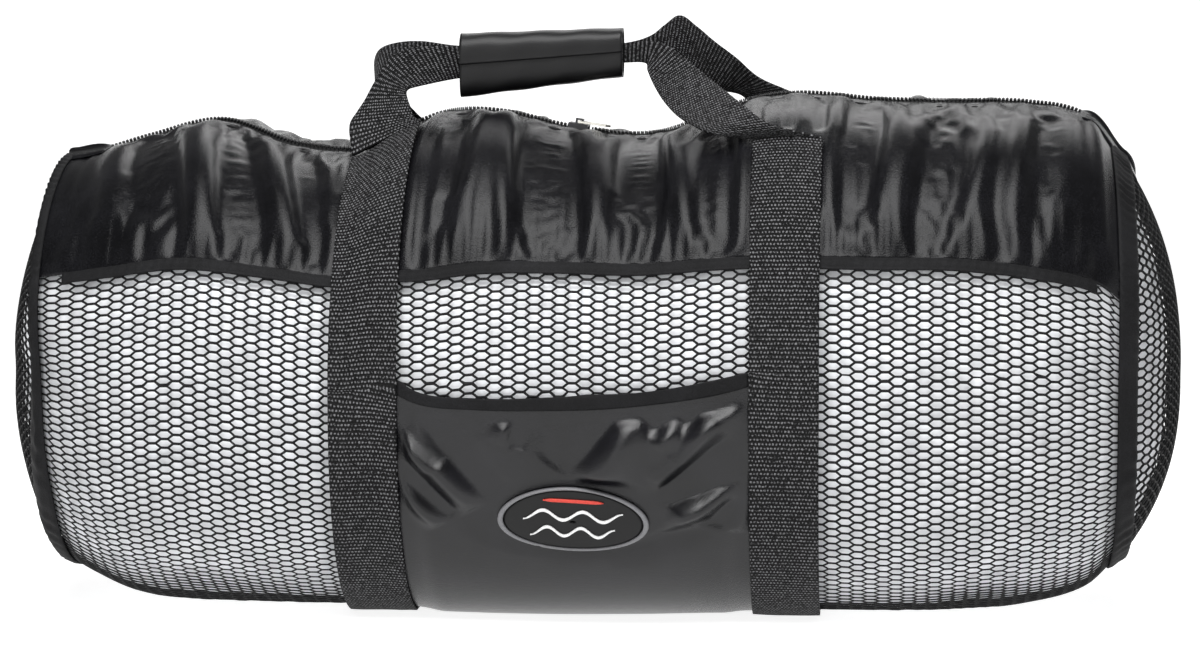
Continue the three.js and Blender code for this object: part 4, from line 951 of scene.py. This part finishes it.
# Handles: outer and inner edges of the webbing, as shares of half the strap spacing, of the webbing's
# width and of the handle's rise above the crown
FRONT_OUTER = [
    (-1.2, -0.84, -0.36), (-1.17, -0.7, -0.2), (-1.14, -0.56, -0.06), (-1.1, -0.44, 0.16),
    (-1.06, -0.34, 0.34), (-1.02, -0.24, 0.5), (-0.94, -0.14, 0.62), (-0.78, -0.1, 0.66),
    (-0.6, -0.1, 0.66), (-0.26, -0.1, 0.67), (0.16, -0.1, 0.7), (0.29, -0.13, 0.72), (0.38, -0.2, 0.66),
    (0.47, -0.36, 0.5), (0.58, -0.8, 0.28), (0.68, -1.3, 0.1), (0.79, -1.85, -0.1), (0.91, -2.25, -0.3),
]
FRONT_INNER = [
    (-0.88, -0.82, -0.25), (-0.9, -0.68, -0.14), (-0.92, -0.56, -0.03), (-0.93, -0.46, 0.06),
    (-0.92, -0.38, 0.1), (-0.88, -0.28, 0.13), (-0.81, -0.16, 0.17), (-0.71, -0.1, 0.22),
    (-0.6, -0.1, 0.26), (-0.26, -0.1, 0.34), (0.16, -0.1, 0.44), (0.27, -0.13, 0.43),
    (0.28, -0.24, 0.34), (0.31, -0.46, 0.18), (0.37, -0.95, -0.03), (0.45, -1.42, -0.22),
    (0.53, -1.8, -0.33), (0.62, -2.1, -0.42),
]
BACK_OUTER = [
    (-1.18, 1.1, -0.42), (-1.17, 1.2, -0.12), (-1.16, 1.08, 0.18), (-1.15, 0.84, 0.46),
    (-1.1, 0.5, 0.62), (-1.0, 0.26, 0.7), (-0.88, 0.14, 0.72), (-0.68, 0.1, 0.66), (-0.26, 0.1, 0.67),
    (0.16, 0.1, 0.7), (0.29, 0.12, 0.8), (0.36, 0.18, 0.94), (0.43, 0.3, 1.06), (0.51, 0.48, 0.92),
    (0.6, 0.64, 0.72), (0.71, 0.84, 0.5), (0.82, 1.1, 0.24), (0.95, 1.25, 0.08), (1.08, 1.38, -0.06),
]
BACK_INNER = [
    (-0.9, 0.84, -0.34), (-1.0, 0.56, -0.06), (-1.08, 0.3, 0.12), (-1.1, 0.16, 0.24),
    (-1.05, 0.1, 0.34), (-0.98, 0.08, 0.38), (-0.88, 0.08, 0.34), (-0.68, 0.1, 0.28),
    (-0.26, 0.1, 0.34), (0.16, 0.1, 0.44), (0.29, 0.12, 0.48), (0.33, 0.16, 0.48), (0.39, 0.26, 0.48),
    (0.46, 0.44, 0.42), (0.52, 0.62, 0.25), (0.6, 0.86, 0.07), (0.68, 1.1, 0.04), (0.73, 1.2, 0.0),
    (0.79, 1.38, -0.14),
]


def curve_through(points, shares):
    """Places along a smooth curve through points, as the centripetal spline of the solids gives."""
    points = np.asarray(points, float)
    padded = np.concatenate([2 * points[:1] - points[1:2], points, 2 * points[-1:] - points[-2:-1]])
    gaps = np.sqrt(np.linalg.norm(np.diff(padded, axis=0), axis=1))
    knots = np.concatenate([[0], np.cumsum(np.maximum(gaps, 1e-6))])
    place = np.clip(shares, 0, 1) * (len(points) - 1)
    low = np.minimum(place.astype(int), len(points) - 2)
    t0, t1, t2, t3 = (knots[low + k] for k in range(4))
    p0, p1, p2, p3 = (padded[low + k] for k in range(4))
    t = (t1 + (place - low) * (t2 - t1))[:, None]
    t0, t1, t2, t3 = (k[:, None] for k in (t0, t1, t2, t3))
    a1 = (t1 - t) / (t1 - t0) * p0 + (t - t0) / (t1 - t0) * p1
    a2 = (t2 - t) / (t2 - t1) * p1 + (t - t1) / (t2 - t1) * p2
    a3 = (t3 - t) / (t3 - t2) * p2 + (t - t2) / (t3 - t2) * p3
    b1 = (t2 - t) / (t2 - t0) * a1 + (t - t0) / (t2 - t0) * a2
    b2 = (t3 - t) / (t3 - t1) * a2 + (t - t1) / (t3 - t1) * a3
    return (t2 - t) / (t2 - t1) * b1 + (t - t1) / (t2 - t1) * b2


# The webbing's face above the wall where a handle starts, and half of its thickness
STRAP_END_LIFT = 3.6
HANDLE_HALF = 1.05


def strap_end(name, end):
    """The outer and inner edge points where a handle leaves its strap."""
    side = -1 if name == "left" else 1
    girth = end * (1 + CRESTS[name, end] / 6)
    gap = end * 2 / arc_per_girth(girth)
    xs = side * np.array([STRAP_OUTER, STRAP_INNER])
    point, normal = wall(xs, girth - gap)
    return point + normal * STRAP_END_LIFT


def make_handle(name, outer_table, inner_table, end):
    scale = np.array([STRAP_SPACING / 2, WEBBING_WIDTH, HANDLE_RISE])
    left = strap_end("left", end)
    right = strap_end("right", end)
    shares = np.linspace(0, 1, 321)
    lines = []
    for table, k in ((outer_table, 0), (inner_table, 1)):
        points = np.array(table) * scale + [0, 0, BODY_HEIGHT]
        lines.append(curve_through(np.concatenate([left[k:k + 1], points, right[k:k + 1]]), shares))
    outer_line, inner_line = lines
    middle = (outer_line + inner_line) / 2
    along = unit(np.gradient(middle, axis=0))
    across = unit(inner_line - outer_line)
    normal = unit(np.cross(along, across))
    rows = np.linspace(0, 1, 17)

    def place(u, v):
        point = outer_line[:, None] * (1 - v[..., None]) + inner_line[:, None] * v[..., None]
        return point, np.broadcast_to(normal[:, None], point.shape)

    half = HANDLE_HALF - 0.25 * (np.abs(rows - 0.5) * 2) ** 4
    points, faces, flat = sheet_mesh(shares, rows, place, -half, half)
    arc = np.interp(flat[:, 0], shares, arc_along(middle))
    flat = np.stack([flat[:, 1] * WEBBING_WIDTH, arc], -1)
    piece(name + "_webbing", (points, faces, flat), WEBBING, name)


# The wrap's section, drawn as shares of half its depth and of its height, and the places of its foot
# and head at both ends, as shares of the handle's rise
WRAP_SECTION = [
    (-1, 0.86), (-1, 0.2), (-0.6, 0.02), (0.4, 0), (0.95, 0.15), (1, 0.8), (0.6, 1), (-0.6, 1.02),
    (-1.3, 0.88), (-1.34, 0.52),
]
WRAP_DEPTH = 19
WRAP_HEIGHT = 40
WRAP_LENGTH = 124
WRAP_PLACE = -0.26
WRAP_FOOT = (0.03, 0.3)
WRAP_HEAD = (0.76, 0.84)


def make_wrap():
    section = np.array(WRAP_SECTION) * [WRAP_DEPTH / 2, WRAP_HEIGHT]
    rows = np.linspace(0, 1, 90)
    line = curve_through(section, rows) / [1, WRAP_HEIGHT]
    shares = np.linspace(0, 1, 60)

    def surface(along, row):
        foot = WRAP_FOOT[0] + (WRAP_FOOT[1] - WRAP_FOOT[0]) * along
        head = WRAP_HEAD[0] + (WRAP_HEAD[1] - WRAP_HEAD[0]) * along
        rise = foot + (head - foot) * np.interp(row, rows, line[:, 1])
        x = WRAP_PLACE * STRAP_SPACING / 2 + (along - 0.5) * WRAP_LENGTH
        return np.stack([x, np.interp(row, rows, line[:, 0]), BODY_HEIGHT + rise * HANDLE_RISE], -1)

    def place(u, v):
        step = surface(u, v + STEP_GIRTH) - surface(u, v - STEP_GIRTH)
        return surface(u, v), unit(np.cross(step, [1.0, 0, 0]))

    grid_u, grid_v = np.meshgrid(shares, rows, indexing="ij")
    wave = 0.35 * np.sin(grid_u * 21 + grid_v * 9) * np.sin(grid_v * 14)
    parts = sheet_mesh(shares, rows, place, 0, 2.2 + wave)
    piece("handle_wrap_sleeve", parts, GRIP_CLOTH, "handle_wrap")


# Zip

ZIP_END = 14
TAPE_REACH = 7.5
TOOTH_PITCH = 3.0
# A tooth's reach across and half sizes along and up, and its middle's place across, along and up
TOOTH_REACH = 2.1
TOOTH_HALF = (0.68, 1.6)
TOOTH_PLACE = (1.4, 0.75, 1.2)
TOOTH_RINGS = (-1, -0.6, 0, 0.6, 1)
TOOTH_SIDES = 8
SLIDER_X = -10.5
SLIDER_HALF = 8.5


def tooth_faces():
    """Faces of a tooth: a tube through its rings with both ends closed."""
    ids = np.arange(len(TOOTH_RINGS) * TOOTH_SIDES).reshape(-1, TOOTH_SIDES)
    ends = []
    for k in range(1, TOOTH_SIDES - 1, 2):
        ends.append(ids[0, [0, k, k + 1, k + 2]])
        ends.append(ids[-1, [0, k + 2, k + 1, k]])
    ids = np.concatenate([ids, ids[:, :1]], 1)
    quads = np.stack([ids[:-1, :-1], ids[1:, :-1], ids[1:, 1:], ids[:-1, 1:]], -1).reshape(-1, 4)
    return np.concatenate([quads, ends])


def make_zip():
    xs = np.linspace(-HALF_LENGTH + ZIP_END, HALF_LENGTH - ZIP_END, 380)
    half = 1 + TAPE_REACH / arc_per_girth(1.08)
    girths = np.linspace(-half, half, 19)
    crest = 2.4 * np.exp(-(girths / 0.8) ** 2)
    tape = sheet_mesh(xs, girths, wall, -3.2, -2.0 + crest)
    piece("zip_tape_cloth", tape, TAPE_CLOTH, "zip_tape")

    arc = arc_along(wall(xs, 0.0)[0])
    places = np.interp((np.arange(int(arc[-1] / TOOTH_PITCH)) + 0.5) * TOOTH_PITCH, arc, xs)
    places = places[np.abs(places - SLIDER_X) > SLIDER_HALF]
    centre, up = wall(places, 0.0)
    along = unit(wall(places + STEP_X, 0.0)[0] - centre)
    across = unit(np.cross(up, along))
    points = []
    for side in (-1, 1):
        shift = across * TOOTH_PLACE[0] + along * TOOTH_PLACE[1]
        middle = centre + side * shift + up * TOOTH_PLACE[2]
        for ring in TOOTH_RINGS:
            radius = math.sqrt(1 - (0.92 * ring) ** 2)
            for turn in np.linspace(0, 2 * math.pi, TOOTH_SIDES + 1)[:-1]:
                points.append(middle + across * ring * TOOTH_REACH
                              + along * math.cos(turn) * TOOTH_HALF[0] * radius
                              + up * math.sin(turn) * TOOTH_HALF[1] * radius)
    each = len(TOOTH_RINGS) * TOOTH_SIDES
    points = np.array(points).reshape(2, each, -1, 3).swapaxes(1, 2).reshape(-1, 3)
    starts = np.arange(len(points) // each) * each
    faces = (tooth_faces()[None] + starts[:, None, None]).reshape(-1, 4)
    piece("zip_coil", (points, faces), COIL_PLASTIC, "zip_chain")


# Badge

BADGE_TILT = math.radians(3)
BADGE_FOOT = 2.8
BADGE_GRIP = arc_per_girth(BADGE_GIRTH)
# The angle round the rim at which its moulded seam shows
RIM_SEAM = 2 * math.pi - 2.05


def badge_place(across, up):
    """The pocket's face under the badge, laid out in millimetres from the badge's middle."""
    x = across * math.cos(BADGE_TILT) + up * math.sin(BADGE_TILT)
    rise = up * math.cos(BADGE_TILT) - across * math.sin(BADGE_TILT)
    return wall(x, BADGE_GIRTH - rise / BADGE_GRIP)


def badge_oval(rings, relief):
    """Parts of a ring-shaped sheet of the badge. relief gives its top from rings and turns."""
    turns = np.linspace(0, 2 * math.pi, 121)[:-1]
    top = BADGE_FOOT + relief(*np.meshgrid(rings, turns, indexing="ij"))

    def oval(ring, turn):
        return badge_place(ring * BADGE_HALF_LENGTH * np.cos(turn), ring * BADGE_HALF_HEIGHT * np.sin(turn))

    return sheet_mesh(rings, turns, oval, BADGE_FOOT, top, closed=True)


def plate_relief(ring, turn):
    grain = 0.05 * np.sin(ring * 70) * np.sin(turn * 12)
    return 2.3 + grain - 0.5 * smooth(ring, 0.89, 0.918)


def rim_relief(ring, turn):
    round_top = np.sqrt(np.clip(1 - ((ring - 0.965) / 0.037) ** 2, 0, 1))
    seam = np.exp(-((turn - RIM_SEAM) % (2 * math.pi) / 0.02) ** 2)
    return 1.6 + 1.8 * round_top - 0.9 * seam


def wave(at):
    return lambda a: (at + 0.07 * np.sin(a * 2.5 * math.pi)) * BADGE_HALF_HEIGHT * 2


def stripe(a):
    return 16 + 0 * a


# The badge's beads: their line, their half length as a share of the badge's, material and slot
BEADS = {
    "badge_wave_upper": (wave(0.1), 0.66, WHITE_RUBBER, "white_rubber"),
    "badge_wave_lower": (wave(-0.16), 0.56, WHITE_RUBBER, "white_rubber"),
    "badge_stripe": (stripe, 0.4, RED_RUBBER, "red_rubber"),
}
BEAD_WIDTH = 2.2


def bead_place(line, half_length):
    def place(along, share):
        thin = np.clip(1.15 * (1 - np.abs(along) ** 6), 0.3, 1)
        return badge_place(along * half_length, line(along) + share * BEAD_WIDTH * thin)
    return place


def make_badge():
    plate = badge_oval(np.linspace(0.04, 0.918, 26), plate_relief)
    piece("badge_plate", plate, BADGE_RUBBER, "badge")
    rim = badge_oval(np.linspace(0.93, 1, 11), rim_relief)
    piece("badge_rim_bead", rim, RIM_RUBBER, "badge_rim")
    along = np.linspace(-1, 1, 121)
    shares = np.linspace(-0.5, 0.5, 7)
    dome = 0.75 + 0.35 * np.sqrt(1 - (2 * shares) ** 2)
    for node, (line, reach, material, slot) in BEADS.items():
        place = bead_place(line, reach * BADGE_HALF_LENGTH)
        parts = sheet_mesh(along, shares, place, BADGE_FOOT + 2.2, BADGE_FOOT + 2.6 + dome)
        piece(node + "_bead", parts, material, node)


# Camera, lights and stage

def look(obj, place, target):
    obj.location = place
    obj.rotation_euler = (Vector(target) - Vector(place)).to_track_quat("-Z", "Y").to_euler()


def area_light(name, place, target, size, energy):
    light = bpy.data.lights.new(name, "AREA")
    light.shape = "RECTANGLE"
    light.size, light.size_y = size
    light.energy = energy
    made = bpy.data.objects.new(name, light)
    bpy.context.scene.collection.objects.link(made)
    look(made, place, target)


def glow(name, base, strength):
    shader = Shader(name, Roughness=0.9, IOR=1.2)
    white = (1, 1, 1, 1)
    return shader.set(Base_Color=(base, base, base, 1), Emission_Color=white, Emission_Strength=strength)


# The camera's place round the bag: turn, rise and distance, and the point that it looks at
CAMERA_TURN = math.radians(4.5)
CAMERA_RISE = math.radians(5)
CAMERA_FAR = 2.7
CAMERA_TARGET = (0.005, 0, 0.205)
# Half of the floor, and the backdrop's radius, height and sides, the lengths in millimetres
FLOOR_HALF = 13e3
BACKDROP_RADIUS = 12e3
BACKDROP_HEIGHT = 3e3
BACKDROP_SIDES = 64


def make_camera():
    camera = bpy.data.objects.new("camera", bpy.data.cameras.new("camera"))
    camera.data.sensor_width = 36
    camera.data.lens = 105.6
    bpy.context.scene.collection.objects.link(camera)
    bpy.context.scene.camera = camera
    level = CAMERA_FAR * math.cos(CAMERA_RISE)
    away = Vector((level * math.sin(CAMERA_TURN), -level * math.cos(CAMERA_TURN),
                   CAMERA_FAR * math.sin(CAMERA_RISE)))
    look(camera, Vector(CAMERA_TARGET) + away, CAMERA_TARGET)


def make_stage():
    corners = [(a * FLOOR_HALF, b * FLOOR_HALF, -0.5) for a, b in ((-1, -1), (1, -1), (1, 1), (-1, 1))]
    floor = mesh_object("floor", corners, [(0, 1, 2, 3)], shade_smooth=False)
    floor.data.materials.append(glow("floor_white", 0.55, 0.85))
    turns = np.linspace(0, 2 * math.pi, BACKDROP_SIDES + 1)[:-1]
    ring = [(BACKDROP_RADIUS * math.cos(t), BACKDROP_RADIUS * math.sin(t), z)
            for z in (-1, BACKDROP_HEIGHT) for t in turns]
    faces = [(k, (k + 1) % BACKDROP_SIDES, (k + 1) % BACKDROP_SIDES + BACKDROP_SIDES, k + BACKDROP_SIDES)
             for k in range(BACKDROP_SIDES)]
    backdrop = mesh_object("backdrop", ring, faces)
    backdrop.data.materials.append(glow("backdrop_white", 0.3, 1.0))

    world = bpy.data.worlds.new("studio")
    world.use_nodes = True
    background = world.node_tree.nodes["Background"]
    background.inputs["Color"].default_value = (1, 1, 1, 1)
    background.inputs["Strength"].default_value = 0.2
    bpy.context.scene.world = world
    bpy.context.scene.view_settings.view_transform = "Standard"

    area_light("overhead", (0, -0.95, 1.85), (0, 0, 0.2), (1.4, 1.6), 66)
    area_light("behind", (0.2, 1.3, 1.5), (0, 0, 0.25), (1.6, 0.8), 12)
    area_light("front_fill", (-0.6, -2.9, 0.9), (0, 0, 0.15), (1.2, 0.7), 8)


make_camera()
make_stage()
front_yoke, front_cut = make_yoke("front_yoke", 1, FRONT_PUCKERS, 170, 46)
back_yoke, back_cut = make_yoke("back_yoke", -1, BACK_PUCKERS, 150, 36)
make_body_net()
packing = make_packing()
make_hem("front_hem", 1)
make_hem("back_hem", -1)
for name, side in (("left", -1), ("right", 1)):
    make_end_net(name, side)
    make_strap(name, side)
    make_binding(name, side)
    make_tab(name, side)
front_pocket, pocket_cut = make_pocket()
make_pocket_hem()
make_badge()
make_handle("front_handle", FRONT_OUTER, FRONT_INNER, 1)
make_handle("back_handle", BACK_OUTER, BACK_INNER, -1)
make_wrap()
make_zip()

NODE_LOOKS = {"zip_slider": SLIDER_METAL, "zip_pull": PULL_METAL}
for node, material in NODE_LOOKS.items():
    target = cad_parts[node]
    target.data.materials.clear()
    target.data.materials.append(material)
